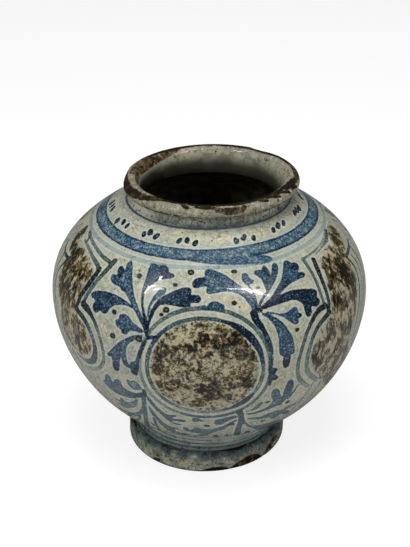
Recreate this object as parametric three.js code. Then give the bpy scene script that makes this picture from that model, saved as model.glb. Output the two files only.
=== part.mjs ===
// Globular vase: a thrown, tin-glazed jar on a foot ring, with a short neck and a rolled lip.
//
// The jar is raised in sections, as large jars are. A foot ring carries a slab floor, the lower
// wall stands on both, the upper wall closes the belly, and a neck collar and a lip roll finish
// the mouth. Each section sits in a stepped luting joint of the one below: an outer ledge carries
// it, and a tongue on the inner side keeps it centred.
//
// Millimetres, +Z up. The origin is under the centre of the foot, on the surface the jar stands on.

import * as THREE from 'three';

// Heights, each measured from the top of the one before
const footHeight = 19.4;        // standing face to the crease above the foot
const collarHeight = 20;        // crease above the foot to the underside of the belly
const lowerRise = 113.8;        // underside of the belly to its widest place
const upperRise = 87.2;         // widest place to the crease under the neck
const neckHeight = 9.2;         // crease under the neck to the seat of the lip
const lipLowerRise = 4.6;       // seat of the lip to its widest place
const lipUpperRise = 5.8;       // widest place of the lip to its crest

// Outside radii
const footCreaseRadius = 67;
const bellyRadius = 139;
const neckCreaseRadius = 69.6;

// Steps outward and inward from those radii
const footRim = 6;              // from the crease out to the side of the foot ring
const collarFlare = 2.6;        // from the crease out to the top of the collar
const neckDraw = 2;             // from the crease under the neck in to its waist
const neckFlare = 1;            // from the waist out to the lip
const lipLedge = 2.4;           // flat underside of the lip, beyond the neck
const lipRound = 4.5;           // rounded edge of the lip, beyond the ledge

// Fullness of the outline: the reach of each curve's handles
const bellyHandleDown = 50;
const bellyHandleUp = 45;
const underHandle = 32;         // from the top of the collar, outward
const underAngle = 14.5;        // degrees above the horizontal
const shoulderHandle = 41.7;    // from the neck, down the shoulder
const shoulderAngle = 30;       // degrees below the horizontal

// Clay
const wall = 8;
const neckWall = 8.2;
const collarWall = 13;          // the thick foot of the lower wall
const slabThickness = 12;
const bowlShare = 0.16;         // share of the lower outline behind the round corner of the floor
const lipInnerOverhang = 1.6;   // how far the lip leans in over the throat

// Foot ring
const slabBed = 5.4;            // how deep the slab lies in the ring
const slabBearing = 4.5;        // width of the ledge that the slab lies on
const footEdgeRound = 2.5;
const footShoulderRound = 5;

// Luting joints
const slipGap = 0.3;            // the film of slip on the upright face of each joint
const wallStep = 6;             // height of the tongue at the belly
const neckStep = 4;             // height of the tongue under the neck
const lipStep = 3;              // height of the tongue under the lip

// Fineness of the curves
const facets = 60;              // round the axis
const wallPoints = 13;
const cornerPoints = 5;
const lipPoints = 12;

// Heights above the standing face
const creaseZ = footHeight;
const collarTopZ = creaseZ + collarHeight;
const bellyZ = collarTopZ + lowerRise;
const neckZ = bellyZ + upperRise;
const lipSeatZ = neckZ + neckHeight;
const lipMiddleZ = lipSeatZ + lipLowerRise;
const slabBottomZ = footHeight - slabBed;
const slabTopZ = slabBottomZ + slabThickness;

// Outside radii that follow from the steps
const footRadius = footCreaseRadius + footRim;
const collarTopRadius = footCreaseRadius + collarFlare;
const neckWaistRadius = neckCreaseRadius - neckDraw;
const neckTopRadius = neckWaistRadius + neckFlare;
const lipUnderRadius = neckTopRadius + lipLedge;
const lipRadius = lipUnderRadius + lipRound;

// Inside radii
const throatRadius = neckCreaseRadius - neckWall;
const bowlRadius = footCreaseRadius - collarWall;
const slabRadius = bowlRadius + collarWall / 2;
const recessRadius = slabRadius - slabBearing;

const v = (radius, height) => new THREE.Vector2(radius, height);
const radians = (angle) => THREE.MathUtils.degToRad(angle);

// A point at a distance and an angle in degrees from another one
function offset(point, distance, angle) {
  const x = distance * Math.cos(radians(angle));
  const y = distance * Math.sin(radians(angle));
  return v(point.x + x, point.y + y);
}

// The two curves of the outline, each drawn upward
function lowerOutline() {
  const start = v(collarTopRadius, collarTopZ);
  const end = v(bellyRadius, bellyZ);
  const startHandle = offset(start, underHandle, underAngle);
  const endHandle = offset(end, bellyHandleDown, -90);
  return new THREE.CubicBezierCurve(start, startHandle, endHandle, end);
}

function upperOutline() {
  const start = v(bellyRadius, bellyZ);
  const end = v(neckCreaseRadius, neckZ);
  const startHandle = offset(start, bellyHandleUp, 90);
  const endHandle = offset(end, shoulderHandle, -shoulderAngle);
  return new THREE.CubicBezierCurve(start, startHandle, endHandle, end);
}

// The inside of the wall: a point of the outline moved inward along its normal
function insideAt(outline, share) {
  const point = outline.getPoint(share);
  const tangent = outline.getTangent(share);
  return v(point.x - tangent.y * wall, point.y + tangent.x * wall);
}

// Evenly spaced shares of a curve, both ends included, each turned into a point
function spaced(from, to, count, pointAt) {
  return Array.from({ length: count + 1 }, (_, i) => pointAt(from + ((to - from) * i) / count));
}

// The share of an outline whose inside lies at a height
function insideShareAtHeight(outline, height) {
  let low = 0;
  let high = 1;
  for (let i = 0; i < 40; i += 1) {
    const middle = (low + high) / 2;
    if (insideAt(outline, middle).y < height) low = middle;
    else high = middle;
  }
  return low;
}

// Points on an arc of a circle or an oval, angles in degrees
function arc(centre, radiusR, radiusZ, from, to, count) {
  return spaced(from, to, count, (angle) => v(
    centre.x + radiusR * Math.cos(radians(angle)),
    centre.y + radiusZ * Math.sin(radians(angle)),
  ));
}

// The tongue stands on the inner part of a wall, and the ledge outside it carries the next section
function jointBetween(innerRadius, outerRadius) {
  const middle = (innerRadius + outerRadius) / 2;
  return { tongue: middle - slipGap / 2, skirt: middle + slipGap / 2 };
}

const bellyJoint = jointBetween(bellyRadius - wall, bellyRadius);
const neckJoint = jointBetween(throatRadius, neckCreaseRadius);
const lipJoint = jointBetween(throatRadius, neckTopRadius);

// A solid of revolution about +Z. The profile runs round the section with the clay on its left.
function turned(name, profile, colour, roughness) {
  const geometry = new THREE.LatheGeometry(profile, facets);
  geometry.rotateX(Math.PI / 2);
  const material = new THREE.MeshStandardMaterial({ color: colour, roughness, metalness: 0 });
  const mesh = new THREE.Mesh(geometry, material);
  mesh.name = name;
  return mesh;
}

// A ring's profile comes back to its first point
function closed(profile) {
  return [...profile, profile[0]];
}

function footRing() {
  const edge = v(footRadius - footEdgeRound, footEdgeRound);
  const shoulder = v(footRadius - footShoulderRound, creaseZ - footShoulderRound);
  const profile = closed([
    v(recessRadius, 0),
    ...arc(edge, footEdgeRound, footEdgeRound, -90, 0, cornerPoints),
    ...arc(shoulder, footShoulderRound, footShoulderRound, 0, 90, cornerPoints),
    v(slabRadius + slipGap, creaseZ),
    v(slabRadius + slipGap, slabBottomZ),
    v(recessRadius, slabBottomZ),
  ]);
  return turned('foot_ring', profile, 0xa9a99a, 0.4);
}

// The slab's middle stands up inside the lower wall, and its edge lies under it
function floorDisc() {
  const middleRadius = bowlRadius - slipGap;
  const profile = [
    v(0, slabBottomZ),
    v(slabRadius, slabBottomZ),
    v(slabRadius, creaseZ),
    v(middleRadius, creaseZ),
    v(middleRadius, slabTopZ),
    v(0, slabTopZ),
  ];
  return turned('floor_disc', profile, 0xb8b19c, 0.5);
}

function lowerWall() {
  const outline = lowerOutline();
  const above = upperOutline();
  const tongueTopZ = bellyZ + wallStep;
  const tongueInside = insideAt(above, insideShareAtHeight(above, tongueTopZ));
  const cornerTop = insideAt(outline, bowlShare);
  const slope = outline.getTangent(bowlShare);
  const cornerMiddleZ = cornerTop.y - ((cornerTop.x - bowlRadius) * slope.y) / slope.x;
  const corner = new THREE.QuadraticBezierCurve(
    v(bowlRadius, slabTopZ),
    v(bowlRadius, cornerMiddleZ),
    cornerTop,
  );
  const profile = closed([
    v(bowlRadius, creaseZ),
    v(footCreaseRadius, creaseZ),
    ...spaced(0, 1, wallPoints, (share) => outline.getPoint(share)),
    v(bellyJoint.tongue, bellyZ),
    v(bellyJoint.tongue, tongueTopZ),
    tongueInside,
    ...spaced(1, bowlShare, wallPoints, (share) => insideAt(outline, share)),
    ...spaced(1, 0, cornerPoints, (share) => corner.getPoint(share)).slice(1),
  ]);
  return turned('lower_wall', profile, 0xbdb8a4, 0.3);
}

function upperWall() {
  const outline = upperOutline();
  const skirtTopZ = bellyZ + wallStep;
  const insideTop = insideAt(outline, 1);
  const throatStartZ = insideTop.y + (insideTop.x - throatRadius) * Math.tan(radians(shoulderAngle));
  const skirtShare = insideShareAtHeight(outline, skirtTopZ);
  const profile = closed([
    v(bellyJoint.skirt, bellyZ),
    ...spaced(0, 1, wallPoints, (share) => outline.getPoint(share)),
    v(neckJoint.tongue, neckZ),
    v(neckJoint.tongue, neckZ + neckStep),
    v(throatRadius, neckZ + neckStep),
    v(throatRadius, throatStartZ),
    ...spaced(1, skirtShare, wallPoints, (share) => insideAt(outline, share)),
    v(bellyJoint.skirt, skirtTopZ),
  ]);
  return turned('upper_wall', profile, 0xbdb8a4, 0.3);
}

function neckCollar() {
  const waist = new THREE.QuadraticBezierCurve(
    v(neckCreaseRadius, neckZ),
    v(2 * neckWaistRadius - (neckCreaseRadius + neckTopRadius) / 2, (neckZ + lipSeatZ) / 2),
    v(neckTopRadius, lipSeatZ),
  );
  const profile = closed([
    v(neckJoint.skirt, neckZ),
    ...spaced(0, 1, cornerPoints, (share) => waist.getPoint(share)),
    v(lipJoint.tongue, lipSeatZ),
    v(lipJoint.tongue, lipSeatZ + lipStep),
    v(throatRadius, lipSeatZ + lipStep),
    v(throatRadius, neckZ + neckStep),
    v(neckJoint.skirt, neckZ + neckStep),
  ]);
  return turned('neck_collar', profile, 0xb3b2a3, 0.3);
}

function lipRoll() {
  const innerRadius = throatRadius - lipInnerOverhang;
  const under = v(lipUnderRadius, lipMiddleZ);
  const middle = v((lipRadius + innerRadius) / 2, lipMiddleZ);
  const halfWidth = (lipRadius - innerRadius) / 2;
  const profile = closed([
    v(lipJoint.skirt, lipSeatZ),
    ...arc(under, lipRadius - lipUnderRadius, lipLowerRise, -90, 0, cornerPoints),
    ...arc(middle, halfWidth, lipUpperRise, 0, 180, lipPoints).slice(1),
    v(throatRadius, lipSeatZ + lipStep),
    v(lipJoint.skirt, lipSeatZ + lipStep),
  ]);
  return turned('lip_roll', profile, 0xb9b29c, 0.3);
}

const vase = new THREE.Group();
vase.add(footRing(), floorDisc(), lowerWall(), upperWall(), neckCollar(), lipRoll());

export default vase;
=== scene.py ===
# Globular vase: the painted and glazed skin of each clay section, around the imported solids.
#
# Every section is drawn as a profile, spun round the axis, and then bent by hand-made faults:
# a slight lean, chips on the lip and the foot, and dents. The painting is brushwork on the
# unrolled wall. Each stroke is written in millimetres, across the wall from the meridian of its
# group and down the wall from the crease under the neck, and it is kept on the mesh as the
# distance to the edge of the paint, which the glaze materials turn into colour.

import math

import bpy
import numpy as np
from bpy.props import FloatProperty, FloatVectorProperty, IntProperty, PointerProperty
from mathutils import Matrix, Quaternion, Vector


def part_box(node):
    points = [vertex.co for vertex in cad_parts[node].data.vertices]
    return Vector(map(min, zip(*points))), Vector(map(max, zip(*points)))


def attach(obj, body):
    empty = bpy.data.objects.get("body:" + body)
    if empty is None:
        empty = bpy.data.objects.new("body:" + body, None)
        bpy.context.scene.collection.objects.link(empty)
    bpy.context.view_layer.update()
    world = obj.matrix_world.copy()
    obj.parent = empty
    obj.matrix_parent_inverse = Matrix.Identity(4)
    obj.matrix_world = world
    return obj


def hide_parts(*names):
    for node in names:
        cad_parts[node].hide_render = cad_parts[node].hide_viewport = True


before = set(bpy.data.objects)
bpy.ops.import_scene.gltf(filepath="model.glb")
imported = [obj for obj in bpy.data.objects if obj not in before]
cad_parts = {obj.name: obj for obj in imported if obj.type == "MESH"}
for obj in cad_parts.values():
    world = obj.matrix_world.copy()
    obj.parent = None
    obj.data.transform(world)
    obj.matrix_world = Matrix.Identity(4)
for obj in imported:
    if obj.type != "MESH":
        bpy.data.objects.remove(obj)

bl_info = {
    "name": "Globular vase",
    "version": (1, 0, 0),
    "blender": (4, 5, 0),
    "location": "3D View > Sidebar > Vase",
    "description": "A painted tin-glazed jar, section by section",
    "category": "Object",
}

MM = 0.001
TURN = 2 * math.pi


def box_top(node):
    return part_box(node)[1].z


def box_bottom(node):
    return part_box(node)[0].z


def box_radius(node):
    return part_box(node)[1].x


def linear(red, green, blue):
    """A colour as a screen shows it, 0 to 255, turned into the values that light adds up in."""
    def one(value):
        share = value / 255
        return share / 12.92 if share <= 0.04045 else ((share + 0.055) / 1.055) ** 2.4
    return (one(red), one(green), one(blue))


# Sizes and colours


def length(name, default, description):
    return FloatProperty(
        name=name, default=default, description=description, unit="LENGTH", precision=5)


def paint(name, default, description):
    return FloatVectorProperty(
        name=name, default=default, description=description, subtype="COLOR", min=0, max=1)


def slope(name, default, description):
    return FloatProperty(
        name=name, default=math.radians(default), description=description, subtype="ANGLE")


class JarSizes(bpy.types.PropertyGroup):
    """The outline of the jar. What the solids already show is read from the frame."""
    crease_z: length("Foot crease height", box_bottom("lower_wall"), "Top of the foot ring")
    belly_z: length("Belly height", box_bottom("upper_wall"), "Widest place of the belly")
    neck_z: length("Neck height", box_bottom("neck_collar"), "Crease under the neck")
    lip_seat_z: length("Lip seat height", box_bottom("lip_roll"), "Where the lip sits on the neck")
    lip_top_z: length("Lip crest height", box_top("lip_roll"), "Crest of the lip")
    foot_radius: length("Foot radius", box_radius("foot_ring"), "Side of the foot ring")
    belly_radius: length("Belly radius", box_radius("lower_wall"), "Widest place of the belly")
    neck_radius: length("Neck crease radius", box_radius("neck_collar"), "Crease under the neck")
    lip_radius: length("Lip radius", box_radius("lip_roll"), "Widest place of the lip")
    slab_radius: length("Slab radius", box_radius("floor_disc"), "Edge of the floor slab")
    slab_bottom_z: length("Slab underside", box_bottom("floor_disc"), "Underside of the floor")
    slab_top_z: length("Slab top", box_top("floor_disc"), "Upper face of the floor")
    crease_radius: length("Foot crease radius", 0.067, "Crease above the foot ring")
    collar_height: length("Collar height", 0.020, "Foot crease to the underside of the belly")
    collar_flare: length("Collar flare", 0.0026, "How far the collar opens upward")
    neck_draw: length("Neck draw", 0.002, "Crease under the neck in to its waist")
    neck_flare: length("Neck flare", 0.001, "Waist of the neck out to the lip")
    lip_ledge: length("Lip ledge", 0.0024, "Flat underside of the lip beyond the neck")
    lip_lower_rise: length("Lip lower rise", 0.0046, "Seat of the lip to its widest place")
    belly_handle_down: length("Fullness below the belly", 0.050, "Reach of the lower curve")
    belly_handle_up: length("Fullness above the belly", 0.045, "Reach of the upper curve")
    under_handle: length("Fullness over the foot", 0.032, "Reach of the curve at the collar")
    shoulder_handle: length("Fullness of the shoulder", 0.0417, "Reach of the curve at the neck")
    under_angle: slope("Slope over the foot", 14.5, "Slope of the wall where it leaves the collar")
    shoulder_angle: slope("Slope of the shoulder", 30, "Slope of the shoulder at the neck")
    wall: length("Wall", 0.008, "Thickness of the wall")
    neck_wall: length("Neck wall", 0.0082, "Thickness of the neck")
    collar_wall: length("Collar wall", 0.013, "Thickness of the wall over the foot")
    lip_overhang: length("Lip overhang", 0.0016, "How far the lip leans in over the throat")
    funnel_depth: length("Funnel depth", 0.013, "Crest of the lip down to the narrowest place")
    funnel_draw: length("Funnel draw", 0.001, "How far the mouth draws in over the throat")
    slab_bearing: length("Slab bearing", 0.0045, "Width of the ledge that the slab lies on")
    foot_edge_round: length("Foot edge round", 0.0025, "Rounding at the standing edge")
    foot_shoulder_round: length("Foot shoulder round", 0.005, "Rounding at the top of the foot")
    slip_gap: length("Slip gap", 0.0003, "Film of slip in each joint")
    wall_step: length("Belly joint", 0.006, "Height of the tongue at the belly")
    neck_step: length("Neck joint", 0.004, "Height of the tongue under the neck")
    lip_step: length("Lip joint", 0.003, "Height of the tongue under the lip")
    upper_row_step: length("Upper row step", 0.001, "Between the rows of the upper wall")
    lower_row_step: length("Lower row step", 0.0014, "Between the rows of the lower wall")
    columns: IntProperty(
        name="Columns", default=640, min=60, description="Faces round the painted wall")


class JarColours(bpy.types.PropertyGroup):
    """Colours of the glazes and the clay."""
    cream: paint("Cream glaze", linear(181, 178, 151), "Tin glaze where it is clean")
    grey_cream: paint("Grey glaze", linear(164, 168, 152), "Tin glaze where it is thin")
    crackle: paint("Crackle", linear(104, 98, 80), "Dirt in the crackle")
    pale_cobalt: paint("Pale cobalt", linear(128, 146, 146), "Thin blue wash")
    cobalt: paint("Cobalt", linear(40, 72, 94), "Blue brushwork")
    deep_cobalt: paint("Deep cobalt", linear(7, 20, 38), "Where the brush left the most blue")
    manganese: paint("Manganese", linear(86, 76, 50), "Brown sponging")
    deep_manganese: paint("Deep manganese", linear(17, 10, 4), "Black of the sponging")
    olive: paint("Olive", linear(165, 156, 127), "Thin sponging")
    rust: paint("Rust", linear(104, 84, 46), "Brown sponging where it turned rusty")
    wash: paint("Wash", linear(142, 152, 148), "Blue-grey wash of the bands")
    clay: paint("Worn clay", linear(94, 80, 58), "Fired body under the glaze")
    dark_clay: paint("Dark clay", linear(30, 25, 18), "Grimy body in old chips")
    grime: paint("Grime", linear(36, 36, 32), "Dirt in the creases")
    throat: paint("Throat", linear(158, 158, 138), "Glaze inside the mouth")


def sizes():
    return bpy.context.scene.jar_sizes


def colours():
    return bpy.context.scene.jar_colours


# Curves, with points as (radius, height)


def offset(point, distance, angle):
    return (point[0] + distance * math.cos(angle), point[1] + distance * math.sin(angle))


def bezier(start, start_handle, end_handle, end, share):
    rest = 1 - share
    weights = (rest ** 3, 3 * rest * rest * share, 3 * rest * share * share, share ** 3)
    corners = (start, start_handle, end_handle, end)
    return tuple(sum(w * c[axis] for w, c in zip(weights, corners)) for axis in (0, 1))


def quadratic(start, pull, end, count):
    """Points on a curve from start to end that is drawn towards a third point."""
    return [tuple((1 - t) ** 2 * a + 2 * t * (1 - t) * b + t * t * c for a, b, c in zip(start, pull, end))
            for t in np.linspace(0, 1, count)]


def arc(centre, radius_r, radius_z, start, end, count):
    """Points on an arc of a circle or an oval, angles in degrees."""
    angles = np.radians(np.linspace(start, end, count + 1))
    return [(centre[0] + radius_r * math.cos(a), centre[1] + radius_z * math.sin(a)) for a in angles]


def spaced_evenly(points, count):
    """The same line with evenly spaced points."""
    line = np.array(points)
    along = np.concatenate([[0], np.cumsum(np.hypot(*np.diff(line, axis=0).T))])
    wanted = np.linspace(0, along[-1], count + 1)
    return list(zip(np.interp(wanted, along, line[:, 0]), np.interp(wanted, along, line[:, 1])))


def moved_inward(points, distance):
    """A line that runs downward on the outside, moved into the clay."""
    line = np.array(points)
    slope = np.gradient(line, axis=0)
    slope /= np.hypot(slope[:, 0], slope[:, 1])[:, None]
    return [tuple(p) for p in line + distance * np.stack([slope[:, 1], -slope[:, 0]], axis=1)]


OUTLINE_POINTS = 400


def outline(start, start_handle, end_handle, end):
    """Points down a curve whose ends are given upward."""
    shares = np.linspace(1, 0, OUTLINE_POINTS)
    return [bezier(start, start_handle, end_handle, end, share) for share in shares]


def upper_outline():
    """From the crease under the neck down to the belly."""
    z = sizes()
    start = (z.belly_radius, z.belly_z)
    end = (z.neck_radius, z.neck_z)
    start_handle = offset(start, z.belly_handle_up, math.radians(90))
    return outline(start, start_handle, offset(end, z.shoulder_handle, -z.shoulder_angle), end)


def lower_outline():
    """From the belly down to the top of the collar."""
    z = sizes()
    start = (z.crease_radius + z.collar_flare, z.crease_z + z.collar_height)
    end = (z.belly_radius, z.belly_z)
    end_handle = offset(end, z.belly_handle_down, math.radians(-90))
    return outline(start, offset(start, z.under_handle, z.under_angle), end_handle, end)


def funnel(height):
    """The inner radius of the mouth: a quarter oval from the crest down, then the throat."""
    z = sizes()
    crest = (z.lip_radius + z.neck_radius - z.neck_wall - z.lip_overhang) / 2
    narrow_z = z.lip_top_z - z.funnel_depth
    throat = z.neck_radius - z.neck_wall
    narrow = throat - z.funnel_draw
    if height > narrow_z:
        share = (height - narrow_z) / z.funnel_depth
        return crest - (crest - narrow) * math.sqrt(max(0.0, 1 - share * share))
    share = min(1.0, (narrow_z - height) / z.funnel_depth)
    return narrow + (throat - narrow) * (3 - 2 * share) * share * share


def line_length(points):
    return float(np.hypot(*np.diff(np.array(points), axis=0).T).sum())


def outer_upper():
    line = upper_outline()
    return spaced_evenly(line, round(line_length(line) / sizes().upper_row_step))


def outer_lower():
    z = sizes()
    line = lower_outline()
    belly = spaced_evenly(line, round(line_length(line) / z.lower_row_step))
    collar = [belly[-1], (z.crease_radius, z.crease_z)]
    return belly + spaced_evenly(collar, round(line_length(collar) / z.lower_row_step))[1:]


# Brushwork. A canvas is a part of the surface unrolled: rows down it, columns round it. A stroke is
# its points, its half-widths and its tones, the last two spread evenly along it.


EDGE = -20.0                 # a distance in mm that stands for far outside the paint
SPAN_SAMPLES = 12            # points on the curve between two points of a line
DAB_STEP = 0.7               # mm between the dabs that make up a stroke
OUTLINE_STEP = 1.5           # mm between the points of a shape's smooth outline
DAB_REACH = 5.0              # mm beyond a dab in which its distance is kept
AREA_REACH = 6.0             # the same for a shape
AREA_MARGIN = 1.3            # a shape's window is this much wider than the shape


def smooth_line(points, step):
    """A smooth curve through the points, with evenly spaced samples, and each one's share."""
    line = np.array(points, float)
    if len(line) > 2:
        ends = np.vstack([2 * line[0] - line[1], line, 2 * line[-1] - line[-2]])
        t = np.linspace(0, 1, SPAN_SAMPLES, endpoint=False)[:, None]
        parts = []
        for a, b, c, d in zip(ends, ends[1:], ends[2:], ends[3:]):
            parts.append(0.5 * (2 * b + (c - a) * t + (2 * a - 5 * b + 4 * c - d) * t ** 2
                                + (3 * b - a - 3 * c + d) * t ** 3))
        line = np.vstack(parts + [line[-1:]])
    along = np.concatenate([[0], np.cumsum(np.hypot(*np.diff(line, axis=0).T))])
    count = max(2, int(along[-1] / step) + 1)
    wanted = np.linspace(0, along[-1], count)
    samples = np.stack([np.interp(wanted, along, line[:, axis]) for axis in (0, 1)], 1)
    return samples, np.linspace(0, 1, count)


def spread(values, shares):
    return np.interp(shares, np.linspace(0, 1, len(values)), values)


def covering(depth):
    """How much of a stroke's tone holds: all of it inside the paint, none a little outside."""
    return np.clip(depth / 1.2 + 0.6, 0, 1)


class Canvas:
    """Paint as distances in mm, one array for each layer, and its tone from 0 to 1."""

    def __init__(self, line, columns):
        profile = np.array(line) / MM
        self.radius = profile[:, 0]
        self.down = np.concatenate([[0], np.cumsum(np.hypot(*np.diff(profile, axis=0).T))])
        self.height = profile[:, 1]
        self.columns = columns
        self.theta = np.arange(columns) * TURN / columns
        self.inside = {}
        self.tone = {}

    def layer(self, name):
        if name not in self.inside:
            self.inside[name] = np.full((len(self.down), self.columns), EDGE)
            self.tone[name] = np.zeros((len(self.down), self.columns))
        return self.inside[name], self.tone[name]

    def radius_at(self, down):
        return np.interp(down, self.down, self.radius)

    def window(self, theta, down, reach):
        first = np.searchsorted(self.down, down - reach)
        last = np.searchsorted(self.down, down + reach)
        if last <= first:
            return None
        radius = self.radius[first:last, None]
        half = int(reach / radius.min() / TURN * self.columns) + 2
        middle = int(round(theta / TURN * self.columns))
        picked = np.arange(middle - half, middle + half + 1)
        across = (picked * TURN / self.columns - theta)[None, :] * radius
        return slice(first, last), picked % self.columns, across, self.down[first:last, None] - down

    def keep(self, name, rows, picked, depth, tone):
        """Adds paint in a window, the deeper and the darker of old and new at each place."""
        inside, tones = self.layer(name)
        here = np.ix_(range(rows.start, rows.stop), picked)
        inside[here] = np.maximum(inside[here], depth)
        tones[here] = np.maximum(tones[here], tone)

    def dab(self, name, theta, down, half_width, tone):
        found = self.window(theta, down, half_width + DAB_REACH)
        if found is None:
            return
        rows, picked, across, along = found
        depth = half_width - np.hypot(across, along)
        self.keep(name, rows, picked, depth, tone * covering(depth))

    def brush(self, name, theta, mark, tone_shift=0.0, widen=1.0, warp=None):
        points, widths, tones = mark
        samples, shares = smooth_line(points, DAB_STEP)
        widths = spread(widths, shares) * widen
        tones = np.clip(spread(tones, shares) + tone_shift, 0, 1)
        for (across, down), half_width, tone in zip(samples, widths, tones):
            if warp:
                across, down = warp(across, down)
            self.dab(name, theta + across / self.radius_at(down), down, half_width, tone)

    def hoop(self, name, down, half_width, tone):
        """A band all the way round. Each value is a number or has one entry for each column."""
        inside, tones = self.layer(name)
        depth = half_width - np.abs(self.down[:, None] - down)
        np.maximum(inside, depth, out=inside)
        np.maximum(tones, tone * covering(depth), out=tones)

    def area(self, name, theta, outline, tone):
        """A closed shape, with the distance to its outline as its depth."""
        shape, _ = smooth_line(list(outline) + [outline[0]], OUTLINE_STEP)
        middle = (shape.max(0) + shape.min(0)) / 2
        half = (shape.max(0) - shape.min(0)) / 2 + AREA_REACH
        size = float(half.max()) * AREA_MARGIN
        found = self.window(theta + middle[0] / self.radius_at(middle[1]), middle[1], size)
        if found is None:
            return
        rows, picked, across, along = found
        x = across + middle[0] * self.radius[rows, None] / self.radius_at(middle[1])
        y = np.broadcast_to(along + middle[1], x.shape)
        nearest = np.full(x.shape, 1e9)
        within = np.zeros(x.shape, bool)
        for (ax, ay), (bx, by) in zip(shape, shape[1:]):
            edge_x, edge_y = bx - ax, by - ay
            long = max(edge_x ** 2 + edge_y ** 2, 1e-9)
            share = np.clip(((x - ax) * edge_x + (y - ay) * edge_y) / long, 0, 1)
            nearest = np.minimum(nearest, np.hypot(x - ax - share * edge_x, y - ay - share * edge_y))
            if ay != by:
                crosses = ((ay > y) != (by > y)) & (x < edge_x * (y - ay) / edge_y + ax)
                within ^= crosses
        depth = np.where(within, nearest, -nearest)
        self.keep(name, rows, picked, depth, tone * np.clip(depth / 2 + 0.5, 0, 1))

    def soften(self, name, times):
        """Spreads a layer's tone over its neighbours, round the jar and down it."""
        _, tones = self.layer(name)
        for _ in range(times):
            tones[:] = (np.roll(tones, 1, 1) + tones + np.roll(tones, -1, 1)) / 3
            tones[1:-1] = (tones[:-2] + tones[1:-1] + tones[2:]) / 3

    def rows_of(self, theta, down, array):
        """The layer's values at places given by angle and distance down."""
        row = np.clip(np.interp(down, self.down, np.arange(len(self.down))), 0, len(self.down) - 1)
        low = np.minimum(row.astype(int), len(self.down) - 2)
        part = row - low
        column = theta / TURN * self.columns
        left = np.floor(column).astype(int)
        share = column - left
        left %= self.columns
        right = (left + 1) % self.columns
        above = array[low, left] * (1 - share) + array[low, right] * share
        below = array[low + 1, left] * (1 - share) + array[low + 1, right] * share
        return above * (1 - part) + below * part


def waver(seed, count, size):
    """A gentle random swing round the jar, as a function of the angle."""
    random = np.random.default_rng(seed)
    orders = np.arange(1, count + 1)
    phases = random.uniform(0, TURN, count)
    strengths = random.normal(0, 1, count) / orders ** 0.7
    strengths *= size / max(1e-9, np.abs(strengths).sum())

    def swing(theta):
        theta = np.asarray(theta)
        return sum(s * np.sin(n * theta + p) for n, p, s in zip(orders, phases, strengths))
    return swing


# The ornament of the wall


def oval(centre, radii, start, end, widths, tones):
    """A stroke along an oval, angles clockwise in degrees with 0 at the top."""
    angles = np.radians(np.linspace(start, end, max(6, int(abs(end - start) / 8))))
    points = [(centre[0] + radii[0] * math.sin(a), centre[1] - radii[1] * math.cos(a)) for a in angles]
    return points, widths, tones


ROUNDEL = (-5.0, 123.5)
OUTER_RING = (53.5, 53.5)
INNER_RING = (47, 45.5)

RINGS = [
    oval(ROUNDEL, OUTER_RING, 0, 360, (1.8, 1.8, 2.1, 1.8, 1.8), (0.5, 0.3, 0.35, 0.15, 0.5)),
    oval(ROUNDEL, INNER_RING, 0, 360, (1.7, 1.9, 2.2, 1.9, 1.8), (0.45, 0.33, 0.25, 0.4, 0.5)),
]
ROUNDEL_MARKS = [
    oval(ROUNDEL, OUTER_RING, 165, 195, (1.6, 2.2, 1.6), (0.4, 0.42, 0.4)),
    ([(35, 77), (36.5, 82), (41, 88.5), (45, 96), (48, 105), (49.5, 112)], (3.2, 3.0, 2.3, 2.2, 2.0, 1.5),
     (0.98, 0.9, 0.8, 0.62, 0.5)),
    oval(ROUNDEL, INNER_RING, 18, 84, (1.1, 2.6, 3.4, 2.6, 1.8), (0.8, 0.98, 0.98, 0.85, 0.5)),
    oval(ROUNDEL, INNER_RING, 124, 158, (1.6, 3.0, 2.8, 1.6), (0.5, 0.8, 0.7, 0.5)),
    oval(ROUNDEL, INNER_RING, 292, 320, (1.4, 1.9, 1.5), (0.45, 0.55, 0.45)),
    ([(-50, 97), (-47, 96), (-43, 95)], (1.7, 1.5, 1.0), (0.7, 0.7, 0.5)),
    ([(36.5, 75), (41, 75.5)], (1.9, 1.6), (0.98, 0.95)),
]

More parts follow.
